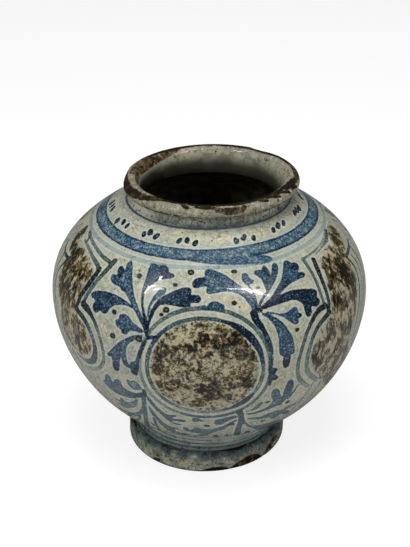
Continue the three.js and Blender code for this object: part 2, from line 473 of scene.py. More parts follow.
# The leaves of the front group: outlines read across and down the wall, each with its tone
LEAVES = [
    ([(-53, 92), (-57, 85), (-60, 80), (-63, 76), (-66, 71.5), (-69, 67.5), (-72, 65), (-75, 63.5),
      (-79, 63), (-84, 62.5), (-86.5, 59.5), (-84.5, 55.5), (-80, 54.5), (-79.5, 51), (-78, 47.5),
      (-74.5, 46), (-72, 49), (-71, 45), (-69, 41.5), (-66, 39.5), (-64.5, 43), (-64, 50), (-63.5, 57),
      (-62, 64), (-60, 70), (-57, 76), (-54, 82), (-51, 88), (-50.5, 92)], 0.56),
    ([(-51, 88), (-54, 80), (-55.5, 70), (-54.5, 60), (-52, 52), (-50.5, 46), (-48.5, 40), (-45.5, 37.5),
      (-41.5, 37.5), (-40.5, 40), (-38, 37.5), (-34, 37.5), (-31.5, 40), (-31.5, 42.5), (-28, 43),
      (-27, 45.5), (-30, 47.5), (-34, 48.5), (-38, 49.5), (-42, 52), (-46, 55), (-50, 59), (-52.5, 65),
      (-53, 72), (-51.5, 79), (-50, 84)], 0.76),
    ([(-50, 82), (-50, 75), (-47.5, 69), (-44, 63), (-40, 58), (-36, 55), (-33.5, 56.5), (-34.5, 60),
      (-39, 63.5), (-43, 67), (-46, 71), (-48, 77), (-49, 83)], 0.5),
    ([(-51, 90), (-49, 82), (-47, 76), (-44, 70), (-40, 65.5), (-34, 61), (-27, 57), (-20, 54), (-15, 53.8),
      (-13.5, 57.5), (-15, 60), (-11, 59.2), (-7, 60.5), (-6, 63), (-8.5, 66), (-12, 66), (-15, 66.5),
      (-14.5, 69), (-19, 70), (-27, 69.5), (-34, 69), (-38.5, 70), (-42, 73.5), (-45, 79), (-47.5, 85),
      (-49, 92)], 0.88),
    ([(-59, 79.5), (-63, 77), (-69, 76), (-76, 77), (-82, 79.5), (-86, 83.5), (-88.5, 86.5), (-92, 88),
      (-95, 86.5), (-97.5, 88), (-101, 90), (-104.5, 88), (-104.5, 84), (-102, 81), (-106.5, 79.5),
      (-107.5, 77.5), (-103, 74), (-96, 71.5), (-88, 70), (-80, 70), (-73, 71), (-67, 73), (-62, 75.5)],
     0.68),
    ([(-52, 93), (-57, 94.5), (-62, 94), (-66, 95), (-69, 98), (-73, 98.5), (-74.5, 95.5), (-77, 95),
      (-79.5, 93), (-79.5, 89.5), (-76, 87.5), (-75.5, 84.5), (-71, 82.5), (-66.5, 83.5), (-63, 87),
      (-59, 89), (-55, 91)], 0.5),
    ([(-54, 95.5), (-62, 97), (-69, 101), (-76, 106), (-82, 112), (-87, 118), (-90, 121.5), (-87.5, 123.5),
      (-85, 122), (-85, 128), (-84.5, 134), (-81.5, 136), (-78.5, 134.5), (-77.3, 129), (-76.5, 122),
      (-75.5, 119), (-74.5, 124), (-72, 127.5), (-69, 128.5), (-67.5, 126), (-69.5, 122), (-70.3, 116),
      (-69.5, 109), (-66, 104.5), (-60, 100.5), (-55, 98.5)], 0.52),
    ([(-50.5, 98), (-53.5, 99.5), (-57, 105), (-59.5, 111), (-61.3, 117), (-63, 120), (-66, 121),
      (-68, 125), (-69, 128.5), (-67, 129.5), (-67, 132.5), (-64, 134), (-61, 134), (-60, 130),
      (-58.7, 124), (-58, 118), (-56.3, 112), (-54, 106), (-51.5, 101)], 0.62),
    ([(-8, 71), (-6.5, 68), (-3.5, 67.5), (-2, 69), (0, 65.5), (4, 64.5), (8.5, 66), (12, 68.5),
      (11.5, 71.5), (5, 72), (-3, 71.8)], 0.56),
    ([(33.5, 73.5), (30.5, 68), (26.5, 63), (20, 59), (12, 57.5), (4, 58.5), (-1, 58.8), (-2.5, 56),
      (-1.5, 52.5), (-7, 53.5), (-11, 54.5), (-13, 51.5), (-12, 47.5), (-8, 45), (-3, 44.3), (-3.5, 41),
      (-1.5, 38.3), (3, 38.5), (9, 41), (15, 45), (20, 49.5), (25, 54), (30, 58.5), (34, 62), (36.5, 67),
      (37.5, 72)], 0.55),
    ([(26, 44), (29, 43.5), (32, 46.5), (33, 49), (36, 50.5), (35, 53), (31, 54.5), (28, 52.5), (26, 49)],
     0.56),
    ([(46, 62), (44.5, 57), (42, 51), (38.5, 47.5), (35.5, 45.5), (37, 43), (41, 42.8), (43, 43.5),
      (43.2, 41.3), (45.5, 40.3), (48, 42.5), (49.8, 46), (50.6, 51), (51.5, 46), (52.5, 41.5),
      (55.5, 40.5), (58, 43), (58, 48), (56, 52.5), (53, 57), (50, 61), (47, 64), (44, 67.5), (41, 72),
      (38.7, 74), (38.5, 71.5), (41, 67), (44, 63.5)], 0.64),
    ([(51.5, 67), (52, 64.5), (56, 60), (59.5, 55.5), (61.5, 50), (63, 45), (64, 41.8), (67.5, 41.5),
      (71, 44.5), (74.5, 45.5), (78, 48), (79.3, 51), (77, 54), (79, 54.7), (82.5, 55.5), (85, 58),
      (83, 60), (77, 60), (70, 60.5), (64.5, 62.5), (60, 65), (56, 67.5), (52.5, 68.5)], 0.68),
    ([(43, 74), (48, 71.5), (55, 68), (62, 66.3), (70, 66), (78, 67.5), (86, 69.5), (92, 71.5),
      (95.5, 74.5), (94.5, 78), (97.5, 81.5), (97, 84.5), (93.5, 85.5), (89.5, 84), (87.5, 83.5), (88, 87),
      (86, 90.5), (82.5, 90), (80.5, 86), (79.5, 81), (76, 76.5), (71, 74), (63, 73.5), (55, 74),
      (48, 74.5), (44, 75.5)], 1.0),
    ([(43, 76), (50, 78.5), (57, 81), (63, 81.5), (68, 79.5), (72, 79.3), (74.5, 82), (74.5, 84.5),
      (77.5, 86), (77, 88.5), (74, 89.5), (74.5, 92), (72, 93), (68, 91.5), (64, 88), (59, 84), (53, 81),
      (46, 78.5)], 0.52),
    ([(41, 77), (47, 79), (53, 83), (59, 88), (64, 95), (67.5, 101), (69.5, 108), (70, 114), (68.5, 117),
      (65, 117), (61, 117), (57.5, 116), (55.5, 112.5), (55.5, 106), (55, 99), (53, 92), (49.5, 86),
      (45, 81.5), (41, 78.5)], 0.56),
    ([(46.5, 115), (48, 113), (50.5, 114.5), (50.7, 118), (50, 122), (49.5, 125), (52, 125.5), (54.5, 127),
      (54, 129.5), (52, 131.5), (54, 134), (55.5, 136.5), (53, 138.5), (50, 138.5), (49.5, 141), (49, 144),
      (46.5, 143.5), (46, 138), (46.5, 132), (46, 126), (46, 120)], 0.7),
    ([(-56, 152.5), (-57, 156), (-61, 160), (-65, 163.5), (-71, 166), (-79, 167), (-87, 166), (-94, 162),
      (-99, 156), (-96, 153), (-95, 147), (-92, 143.5), (-89, 145.5), (-87, 151), (-85.5, 150.5),
      (-84.5, 146.5), (-80.5, 145), (-77.5, 147.5), (-76.5, 152), (-71, 155.5), (-64, 155.5), (-59, 153)],
     0.5),
    ([(-58, 149), (-63, 152), (-68, 151), (-71, 147.5), (-72, 143.5), (-70.5, 141), (-68.5, 142.5),
      (-66, 141), (-63, 140.5), (-60, 143.5), (-58.5, 147)], 0.34),
    ([(-60, 162), (-63, 167), (-64, 173), (-67, 179), (-72, 184), (-77, 188), (-82, 188), (-86, 187),
      (-89, 185.5), (-84, 183.5), (-82, 181), (-88, 178.5), (-87.5, 175.5), (-83, 176.5), (-82, 171.5),
      (-79, 171), (-77, 174.5), (-72, 173), (-68, 169), (-65, 165)], 0.42),
    ([(-59.5, 170), (-62, 180), (-67, 189), (-73, 194), (-82, 197), (-90, 198), (-85, 202), (-76, 201.5),
      (-68, 200), (-63, 194), (-60, 185)], 0.4),
    ([(-54, 155), (-50, 160), (-47, 166), (-43.5, 171), (-40, 176), (-35, 178.5), (-31, 176.5),
      (-28.5, 177.5), (-30, 180.5), (-33, 181.5), (-31.5, 184), (-27, 183.5), (-22, 184), (-21, 186.5),
      (-25, 189), (-30, 188), (-34, 189.5), (-30, 192), (-25.5, 193), (-26, 195.5), (-30, 195.5),
      (-35, 192), (-39, 187), (-43, 180), (-47, 174), (-51, 167), (-54, 160)], 0.5),
    ([(-54, 165), (-51.5, 172), (-48, 180), (-45, 187), (-41, 195), (-37, 200.5), (-31, 202),
      (-27.5, 204.5), (-28.5, 208), (-33, 208), (-30, 211), (-31, 214), (-27, 216), (-20, 216.5),
      (-18.5, 220), (-20, 224), (-27, 226), (-33, 222), (-38, 215), (-42, 207), (-46, 197), (-50, 187),
      (-53, 177)], 0.45),
    ([(-17, 181), (-14, 179), (-10, 180), (-8, 183), (-5, 184), (-7, 185.5), (-11, 185), (-13, 187),
      (-16, 185)], 0.62),
    ([(-24, 199), (-20.5, 199), (-19, 204), (-18.5, 209), (-21, 209.5), (-24, 206)], 0.6),
    ([(28, 173.5), (33, 172.5), (38, 171.5), (40.5, 168), (43, 163.5), (41, 162), (37, 164.5), (34.5, 168),
      (33, 170.5), (28, 172)], 0.42),
    ([(28, 178), (35, 179.5), (42, 178), (50, 176), (56, 174.5), (60, 172.5), (63, 169.5), (66, 165),
      (68.5, 160), (70.5, 153), (70, 147), (68, 143), (65, 143.5), (62.5, 149), (61, 155), (59.7, 162),
      (58, 157), (56.5, 151), (53, 148.5), (50, 151), (49.5, 157), (51, 163), (50, 168), (46, 172),
      (39, 175), (32, 176), (28, 175.5)], 0.5),
    ([(29, 184), (36, 185), (43, 186), (50, 183), (57, 182.5), (62, 184), (65, 181), (70, 180.5),
      (76, 181.5), (75, 184.5), (68, 187), (66, 190), (70, 193), (69.5, 197), (66.5, 199.5), (62.5, 196),
      (60, 193.5), (58, 197), (55, 200.5), (52, 197.5), (50, 193.5), (47, 192), (42, 192.5), (36, 190),
      (31, 187)], 0.42),
    ([(27, 186), (30, 195), (34, 202), (40, 205.5), (48, 207), (56, 207), (63, 209), (64, 213), (60, 218),
      (58, 223), (52, 228), (45, 229), (40, 222), (36, 213), (32, 206), (28.5, 198)], 0.4),
    ([(21, 177), (14, 178), (9, 180), (3, 182), (2, 186), (2.5, 191.5), (8, 191.5), (12, 187), (17, 183),
      (21, 180)], 0.45),
    ([(20, 183), (15, 188), (11, 193), (6, 197), (0, 200), (-8, 200.5), (-12, 197), (-15, 198), (-16, 202),
      (-19, 206), (-19, 210), (-14, 213), (-9, 213.5), (-11, 218), (-12, 222), (-7, 223), (-3, 218),
      (2, 210), (7, 206), (11, 202), (14, 197), (18, 191), (21, 186)], 0.42),
]

# Stems, and the dark places where the brush rested on the leaves
TOUCHES = [
    ([(-76, 50), (-76.5, 55)], (2.6, 2.2), (1.0, 0.85)),
    ([(-82.5, 58.5), (-78, 60)], (1.8, 2.2), (0.8, 0.65)),
    ([(-74, 64), (-71, 65)], (1.0, 1.0), (0.98, 0.9)),
    ([(-36, 41), (-37, 46)], (3.0, 2.4), (1.0, 0.9)),
    ([(-44.5, 41), (-46, 47)], (2.0, 2.0), (0.8, 0.7)),
    ([(-9, 62.5), (-13, 62.8), (-19, 62)], (2.4, 2.3, 2.0), (1.0, 0.95, 0.75)),
    ([(-101.5, 86.5), (-97.5, 83), (-93, 80)], (2.4, 2.6, 1.6), (1.0, 0.95, 0.7)),
    ([(-92, 86), (-90, 83)], (1.4, 1.6), (0.8, 0.7)),
    ([(-77.5, 91.5), (-74, 92)], (1.5, 1.6), (0.85, 0.7)),
    ([(-73, 97), (-70, 94.5)], (1.2, 1.5), (0.9, 0.7)),
    ([(-81.5, 133), (-81, 127)], (2.3, 2.4), (0.95, 0.7)),
    ([(-62.5, 132.5), (-62, 127)], (1.6, 1.8), (0.95, 0.8)),
    ([(-52, 101), (-55.5, 108), (-58.5, 115)], (0.8, 1.5, 1.4), (0.9, 0.85, 0.7)),
    ([(-52, 82), (-51.5, 89), (-51, 95)], (1.6, 2.0, 1.4), (0.75, 0.85, 0.85)),
    ([(-10.5, 50.5), (-6, 48), (-2, 47)], (2.8, 2.8, 2.2), (1.0, 0.95, 0.75)),
    ([(0, 40.5), (5, 43)], (1.6, 2.0), (0.66, 0.62)),
    ([(31, 54.5), (35, 60), (37, 67), (37.3, 73)], (0.8, 0.8, 0.9, 1.1), (0.5, 0.5, 0.6)),
    ([(45.5, 43.5), (48, 49)], (1.8, 1.8), (1.0, 0.9)),
    ([(53, 67), (47, 70.5), (41, 74.5)], (1.7, 1.4, 1.3), (0.8, 0.8, 0.9)),
    ([(75.5, 50), (69, 50)], (2.8, 2.4), (1.0, 0.85)),
    ([(82, 57.5), (75, 57.5)], (1.5, 1.6), (0.95, 0.8)),
    ([(94, 82.5), (89, 78)], (2.3, 2.6), (1.0, 0.9)),
    ([(84, 87.5), (82.5, 82)], (2.2, 2.2), (0.95, 0.8)),
    ([(76, 87), (72, 85)], (1.2, 1.5), (0.9, 0.65)),
    ([(63, 117), (62, 122), (61.7, 126.5)], (2.6, 3.0, 2.2), (0.55, 0.5, 0.9)),
    ([(60.8, 117), (59.5, 122), (60.5, 127)], (0.8, 1.0, 1.0), (0.95, 1.0, 1.0)),
    ([(65.6, 118), (64.8, 123), (63.5, 127)], (0.8, 1.0, 1.0), (0.9, 0.95, 1.0)),
    ([(52, 129), (49, 131)], (1.3, 1.5), (0.85, 0.8)),
    ([(53.5, 136.5), (50, 136.5)], (1.5, 1.6), (1.0, 0.9)),
    ([(-57, 154.5), (-62, 159), (-68, 162)], (1.4, 2.2, 2.2), (0.9, 0.85, 0.65)),
    ([(-56, 150), (-55.5, 156)], (1.8, 1.8), (0.75, 0.8)),
    ([(-57, 156), (-57.5, 178), (-58, 198)], (2.0, 2.2, 2.2), (0.5, 0.45, 0.45)),
    ([(-58, 200), (-58, 216), (-58, 240)], (2.2, 3.0, 3.6), (0.5, 0.85, 0.8)),
    ([(-63, 196), (-68, 212), (-75, 232)], (1.2, 1.8, 2.2), (0.4, 0.45, 0.45)),
    ([(-73, 200), (-82, 216), (-88, 230)], (1.6, 2.2, 2.4), (0.4, 0.5, 0.45)),
    ([(-53, 203), (-51, 209)], (1.0, 1.5), (0.8, 0.9)),
    ([(-50, 190), (-47.5, 212), (-46, 236)], (1.4, 1.6, 2.0), (0.4, 0.4, 0.6)),
    ([(-26, 186), (-24, 187)], (2.0, 1.8), (0.75, 0.7)),
    ([(-26, 220), (-22, 221)], (2.4, 2.4), (0.75, 0.7)),
    ([(75, 153), (70.5, 161), (66, 168)], (1.2, 1.5, 1.1), (0.4, 0.4, 0.5)),
    ([(67.5, 147), (66, 156)], (2.2, 2.4), (0.85, 0.65)),
    ([(22.5, 171), (24, 177)], (3.0, 2.6), (0.8, 0.6)),
    ([(24, 177), (24, 190), (22.5, 205), (22, 222)], (2.2, 2.6, 2.8, 2.8), (0.55, 0.5, 0.5, 0.7)),
    ([(22, 222), (21.5, 240)], (2.4, 3.0), (0.9, 0.85)),
    ([(26.5, 182), (27, 195)], (0.9, 1.0), (0.7, 0.6)),
    ([(67.5, 192), (67.5, 197)], (1.6, 1.8), (0.98, 1.0)),
    ([(3.5, 219), (3.8, 226)], (2.1, 2.3), (0.98, 0.95)),
    ([(13, 219.5), (13, 225)], (1.5, 1.7), (0.6, 0.55)),
    ([(30.5, 219), (31.5, 226)], (2.3, 2.5), (0.6, 0.65)),
    ([(-13.5, 221), (-14, 227)], (1.2, 1.4), (0.8, 0.75)),
    ([(58, 215), (58.5, 222)], (1.8, 1.9), (0.85, 0.8)),
    ([(60, 226), (63, 238)], (1.6, 2.2), (0.6, 0.7)),
]

# Dots between the leaves: across, down, half-width and tone
DOTS = [
    (-14, 40.8, 2.5, 1.0), (-34, 73, 2.4, 1.0), (-38, 77.3, 1.5, 0.95), (-26.5, 52.5, 1.6, 1.0),
    (-57.5, 50, 2.2, 0.55), (-80.5, 83.5, 2.1, 0.9), (-82.5, 103, 2.5, 0.85), (-58, 99.5, 2.8, 1.0),
    (20, 41.3, 2.0, 1.0), (19.5, 67, 2.0, 1.0), (39, 57.3, 1.2, 1.0), (72.5, 97.5, 1.7, 1.0),
    (-4, 193.5, 2.3, 1.0), (46.5, 164.5, 1.8, 1.0), (66, 173.5, 2.2, 1.0), (58.5, 173, 1.7, 0.9),
    (68.5, 163, 1.2, 0.9), (16.5, 192.5, 2.7, 1.0), (44, 197.5, 2.2, 1.0),
]

# The cartouches that flank the roundel, each from its own meridian
LEFT_CARTOUCHE = [
    ([(-50, 36), (-36, 37), (-20, 41), (0, 44), (15, 46.5), (25, 47.5)], (0.8, 1.0, 1.2), (0.2, 0.25, 0.5)),
    ([(-28, 40), (-21, 42.5), (-19, 46.5)], (1.0,), (0.4,)),
    ([(28, 45), (28, 53), (26.5, 64), (24.5, 76), (22.5, 86)], (1.7, 1.5, 1.3, 1.3),
     (0.6, 0.6, 0.45, 0.4, 0.6)),
    ([(-24, 47), (-8, 48.5), (4, 51.5), (14, 54), (20, 57)], (0.8, 1.0, 1.2, 1.4), (0.2, 0.25, 0.6)),
    ([(20.5, 57), (20.5, 64), (19, 74), (16.5, 84), (15.5, 92)], (1.6, 1.8, 1.6, 1.3),
     (0.9, 1.0, 1.0, 0.85, 0.7)),
    ([(22.5, 88.5), (29, 90), (35, 93)], (1.9, 2.0, 1.4), (0.98, 0.97, 0.85)),
    ([(35, 93), (43, 100), (49, 110), (51.5, 121), (50, 131), (43, 140), (32, 147), (21, 151)],
     (1.3, 1.1, 1.2, 1.6), (0.75, 0.3, 0.3, 0.25, 0.12, 0.08)),
    ([(14, 95), (22, 97.5), (30, 101), (37, 107.5), (41.5, 116), (42, 124), (39, 132), (32, 139),
      (22, 141.5), (12, 140)], (1.5, 1.6, 1.4, 1.6, 2.0, 1.6, 1.1),
     (0.85, 0.9, 0.6, 0.35, 0.6, 0.6, 0.45, 0.3, 0.25)),
    ([(-58, 64), (-50, 69), (-39, 70), (-29, 68.5)], (0.9, 1.1), (0.4, 0.6, 0.7)),
    ([(-29, 69), (-33, 76), (-37, 82), (-39, 90), (-36, 98), (-30, 107), (-26, 117), (-24, 127), (-17, 137),
      (-4, 142)], (0.9, 1.1, 0.9), (0.9, 0.7, 0.4, 0.3, 0.3)),
    ([(-44, 70), (-46, 80), (-47, 90), (-43, 100), (-37, 110), (-33, 122), (-31, 134), (-24, 146),
      (-8, 153)], (1.0,), (0.4, 0.25, 0.25, 0.2)),
    ([(3, 140), (7, 145), (11, 151), (13, 158)], (0.9,), (0.8, 0.7, 0.3)),
]
LEFT_CARTOUCHE_GROUND = [
    [(-22, 53), (-12, 51), (2, 53.5), (13, 58), (16.5, 64), (15.5, 76), (13, 88), (14, 97), (23, 102.5),
     (32, 107.5), (36.5, 114), (37.5, 121), (35, 128), (29, 133), (21, 136.5), (12, 137), (4, 134),
     (-2, 131), (-6.5, 126), (-8.5, 118), (-10, 110), (-14, 104), (-19.5, 98), (-25, 93), (-29, 87),
     (-31, 79), (-31, 71), (-28, 65), (-25, 59)],
    [(-43, 40), (-36, 43), (-32, 47), (-30, 52), (-26.5, 56), (-26, 62), (-28, 65.5), (-34, 65), (-41, 63),
     (-46, 58), (-47, 51), (-46, 45)],
]
LEFT_CARTOUCHE_DENSE = [
    ([(-27, 60), (-20, 68), (-23, 80), (-14, 88), (-4, 92)], (4, 6, 6, 6, 4), (0.9, 0.6, 0.8, 0.9, 0.7)),
    ([(-4, 58), (4, 66)], (4,), (0.5,)),
    ([(6, 84), (10, 92)], (4,), (0.5,)),
    ([(6, 104), (16, 114), (20, 124)], (3,), (0.4,)),
    ([(-40, 46), (-38, 56)], (5,), (0.6,)),
]
RIGHT_CARTOUCHE = [
    ([(-27, 46), (-10, 45), (5, 43.5), (18, 41), (32, 37.5), (48, 36)], (0.7, 0.6, 0.7), (0.3, 0.12, 0.15)),
    ([(-28.5, 46), (-30, 55), (-32.5, 66), (-35.5, 78), (-37, 86)], (1.2, 1.1, 1.0), (0.4, 0.35, 0.35)),
    ([(-14, 48), (0, 46.5), (14, 45), (26, 41)], (0.5, 0.6, 1.2, 0.7), (0.2, 0.2, 0.6)),
    ([(-19.5, 51), (-23, 59), (-26.5, 69), (-29, 79), (-31.5, 88), (-35, 93.5)], (1.6, 1.5, 1.3, 1.2, 1.4),
     (1.0, 1.0, 0.95, 0.8, 0.45, 0.6, 0.9)),
    ([(-37, 88), (-43, 88.5), (-50, 91.5), (-57, 96.5)], (1.8, 1.4, 1.0), (0.98, 0.9, 0.6)),
    ([(-50, 91.5), (-60, 100), (-66, 109), (-70, 119), (-71.5, 130), (-68.5, 142), (-61, 152), (-51, 161)],
     (1.2, 1.2, 1.5), (0.75, 0.5, 0.4, 0.3, 0.2, 0.15)),
    ([(-34, 94.5), (-42, 97.5), (-50, 101.5), (-57, 109), (-61.5, 119), (-62.5, 130), (-59, 141),
      (-50, 151), (-41, 159)], (1.5, 1.3, 1.4, 1.6, 1.6), (0.85, 0.6, 0.35, 0.25, 0.2, 0.15)),
    ([(-46, 160), (-47, 172), (-49, 187), (-47, 205), (-42, 222)], (0.9,), (0.2, 0.12)),
    ([(-34, 165), (-35, 180), (-34, 200), (-28, 218)], (0.9,), (0.25, 0.12)),
    ([(50, 65), (42, 67), (34, 67.5), (24, 68)], (1.0, 1.2), (0.4, 0.55)),
    ([(22, 68.5), (25, 75), (27, 80), (26, 87), (23, 94), (19, 101), (14, 108), (9, 117), (5, 126),
      (4, 136), (9, 147), (20, 158)], (0.9,), (0.9, 0.75, 0.5, 0.3, 0.2)),
    ([(44, 70), (47, 80), (45, 90), (38, 100), (31, 110), (24, 120), (19, 130), (18, 142), (28, 154)],
     (0.9,), (0.7, 0.6, 0.35, 0.2)),
    ([(33, 72), (37, 82), (35, 92), (28, 102), (21, 112), (15, 122), (11, 132)], (0.8,), (0.5, 0.35, 0.2)),
]
RIGHT_CARTOUCHE_GROUND = [
    [(-13, 55), (-4, 51), (6, 50), (14, 52), (21, 57), (25, 62), (24, 68), (21.5, 75), (20, 84), (16, 91.5),
     (12, 99), (7, 105.5), (5, 111.5), (1, 118), (-3, 125), (-5, 134), (-2, 144), (8, 154), (18, 166),
     (20, 178), (10, 186), (-5, 186), (-18, 179), (-27, 170), (-35, 161), (-42, 153), (-50, 144),
     (-56, 136), (-58, 126), (-56, 117), (-51, 111), (-44, 104), (-37, 99), (-31, 94), (-27, 86), (-24, 76),
     (-20, 66), (-17, 59)],
    [(20, 46), (26, 43), (34, 41), (41, 43), (44, 49), (42, 55), (36, 60), (28, 63), (21, 63.5), (18, 58),
     (17, 51)],
]
RIGHT_CARTOUCHE_DENSE = [
    ([(-8, 58), (2, 64), (8, 76), (6, 88), (9, 96)], (5, 7, 7, 7, 4), (0.5, 0.55, 0.7, 0.7, 0.3)),
    ([(-12, 66), (-16, 80), (-14, 94)], (4,), (0.6, 0.65, 0.4)),
    ([(-52, 124), (-50, 136)], (5,), (0.6, 0.5)),
    ([(-28, 112), (-22, 122)], (4,), (0.4,)),
    ([(-26, 160), (-12, 172)], (5,), (0.4,)),
    ([(24, 48), (34, 54)], (5,), (0.6,)),
]

# The flank, midway between two cartouches: a long spindle with dots in it, and a sprig below
SPINDLE_SIDE = [(0, 46), (-8, 60), (-12, 78), (-12, 98), (-8, 120), (0, 142)]
SPINDLE_DOTS = [(0, 68, 1.6, 1.0), (0.5, 82, 2.0, 1.0), (-0.5, 97, 2.2, 1.0), (0, 112, 1.8, 1.0)]
UPPER_LEAF = [(-2, 186), (-5, 178), (-10, 172), (-16, 169), (-22, 170), (-20, 174), (-24, 177), (-20, 180),
              (-22, 184), (-16, 185), (-9, 185), (-4, 189)]
LOWER_LEAF = [(-2, 208), (-7, 201), (-13, 197), (-20, 198), (-18, 202), (-21, 206), (-15, 208), (-8, 209),
              (-3, 213)]
BUD = [(-2.5, 180), (-3.5, 173), (-1.5, 165), (0, 162), (1.5, 165), (3.5, 173), (2.5, 180)]
SPRIG_STEM = ([(0, 176), (0.5, 205), (0, 238)], (1.4, 2.0, 2.8), (0.5, 0.45, 0.6))
UPPER_BERRY = [(-31, 176), (-29, 177)]
LOWER_BERRY = [(-27, 196), (-26, 196)]

# Slanted petals in threes on the cream band under the neck: across and down from the front
PETALS = [
    (-133, 15), (-124, 14), (-117, 14), (-95, 15.3), (-85, 12.8), (-78, 13.6), (-56.5, 14), (-50.6, 10.6),
    (-44, 12.6), (-23.6, 13), (-17.4, 12), (-10.4, 14), (22.4, 13.6), (28.9, 11.7), (37.6, 14),
    (57.6, 12.4), (63.4, 10.4), (70.7, 10.7), (92, 10), (98, 10), (105, 11),
]
PETAL_GROUPS_BEHIND = 7
# Where the broad band ends over its own start, on the right
BAND_OVERLAP = [(-25, 29), (-8, 32.3), (10, 34.3), (25, 35.8), (38, 37.6), (48, 38.6), (53, 36.6), (50, 33),
                (40, 30), (25, 27), (0, 25)]

# Dense places of the sponging in the front roundel
DENSE = [
    ([(-34, 108), (-26, 105), (-17, 105), (-10, 98), (-7, 89)], (3.0, 4.5, 4.0, 4.5, 4.0),
     (0.5, 0.8, 0.7, 0.9)),
    ([(0, 101), (7, 98), (13, 102), (18, 95), (23, 93)], (3.5, 4.0, 3.5, 4.5, 4.0), (0.7, 0.9, 0.7, 1.0)),
    ([(25, 99), (29, 106), (38, 108), (42, 116)], (4.0, 4.5, 4.5, 3.5), (0.8, 0.6, 0.85, 0.6)),
    ([(-46, 102), (-42, 108), (-44, 116)], (3.5, 4.5, 3.0), (0.6, 0.9, 0.4)),
    ([(-14, 117), (-10, 122), (-4, 121)], (4.0, 4.5, 3.0), (0.5, 0.8, 0.4)),
    ([(-10, 138), (-3, 143), (4, 144), (9, 140)], (4.5, 6.5, 6.0, 4.0), (0.7, 1.0, 1.0, 0.6)),
    ([(20, 130), (26, 133), (34, 130)], (3.5, 4.5, 3.0), (0.5, 0.8, 0.5)),
    ([(-36, 132), (-28, 137), (-30, 143)], (3.0, 4.0, 3.0), (0.4, 0.7, 0.4)),
]
SPONGED_DISC = oval((-5.5, 123), (43.5, 43), 0, 352, (1,), (1,))[0]
SPONGED_TONE = 0.35
GROUP_TURNS = (0, 180)       # the painted front, and the same again behind
BEHIND_SHIFT = 1.2           # mm by which the group behind may sit off its place
BEHIND_TONES = (-0.14, 0.06)
BEHIND_BRUSHES = (0.9, 1.1)
CARTOUCHE_BRUSH = 1.6        # the cartouches are drawn with a fuller brush


def paint_dots(canvas, theta, dots, warp=None):
    for across, down, half_width, tone in dots:
        mark = ([(across - 0.4, down), (across + 0.4, down)], (half_width,), (tone,))
        canvas.brush("dots", theta, mark, warp=warp)


def paint_front_group(canvas, turn, random):
    """A roundel with its four sprays and its dots."""
    at_front = turn == 0
    theta = math.radians(turn)
    shift = (0, 0) if at_front else random.uniform(-BEHIND_SHIFT, BEHIND_SHIFT, 2)

    def warp(across, down):
        return across + shift[0], down + shift[1]
    for outline, tone in LEAVES:
        tone_shift = 0 if at_front else random.uniform(*BEHIND_TONES)
        canvas.area("cobalt", theta, [warp(*point) for point in outline], tone + tone_shift)
    for mark in RINGS:
        canvas.brush("slate", theta, mark, warp=warp)
    for mark in ROUNDEL_MARKS + TOUCHES:
        tone_shift = 0 if at_front else random.uniform(*BEHIND_TONES)
        widen = 1 if at_front else random.uniform(*BEHIND_BRUSHES)
        canvas.brush("cobalt", theta, mark, tone_shift, widen, warp)
    paint_dots(canvas, theta, DOTS, warp)
    canvas.area("manganese", theta, [warp(*point) for point in SPONGED_DISC], SPONGED_TONE)
    for mark in DENSE:
        canvas.brush("density", theta, mark, warp=warp)


def paint_cartouche(canvas, turn, marks, grounds, dense):
    theta = math.radians(turn)
    for mark in marks:
        canvas.brush("slate", theta, mark, widen=CARTOUCHE_BRUSH)
    for ground in grounds:
        canvas.area("streaked", theta, ground, SPONGED_TONE)
    for mark in dense:
        canvas.brush("density", theta, mark)


def mirrored(points):
    """The same line on the other side of its meridian."""
    return [(-across, down) for across, down in points]


def paint_flank(canvas, turn):
    theta = math.radians(turn)
    for side in (SPINDLE_SIDE, mirrored(SPINDLE_SIDE)):
        canvas.brush("slate", theta, (side, (0.9, 1.2, 1.2, 0.9), (0.3, 0.2, 0.3)))
    paint_dots(canvas, theta, SPINDLE_DOTS)
    for leaf in (UPPER_LEAF, LOWER_LEAF):
        canvas.area("cobalt", theta, leaf, 0.4)
        canvas.area("cobalt", theta, mirrored(leaf), 0.4)
    canvas.area("cobalt", theta, BUD, 0.5)
    canvas.brush("cobalt", theta, SPRIG_STEM)
    for berry, half_width in ((UPPER_BERRY, 1.6), (LOWER_BERRY, 1.5)):
        canvas.brush("cobalt", theta, (berry, (half_width,), (0.9,)))
        canvas.brush("cobalt", theta, (mirrored(berry), (half_width,), (0.9,)))


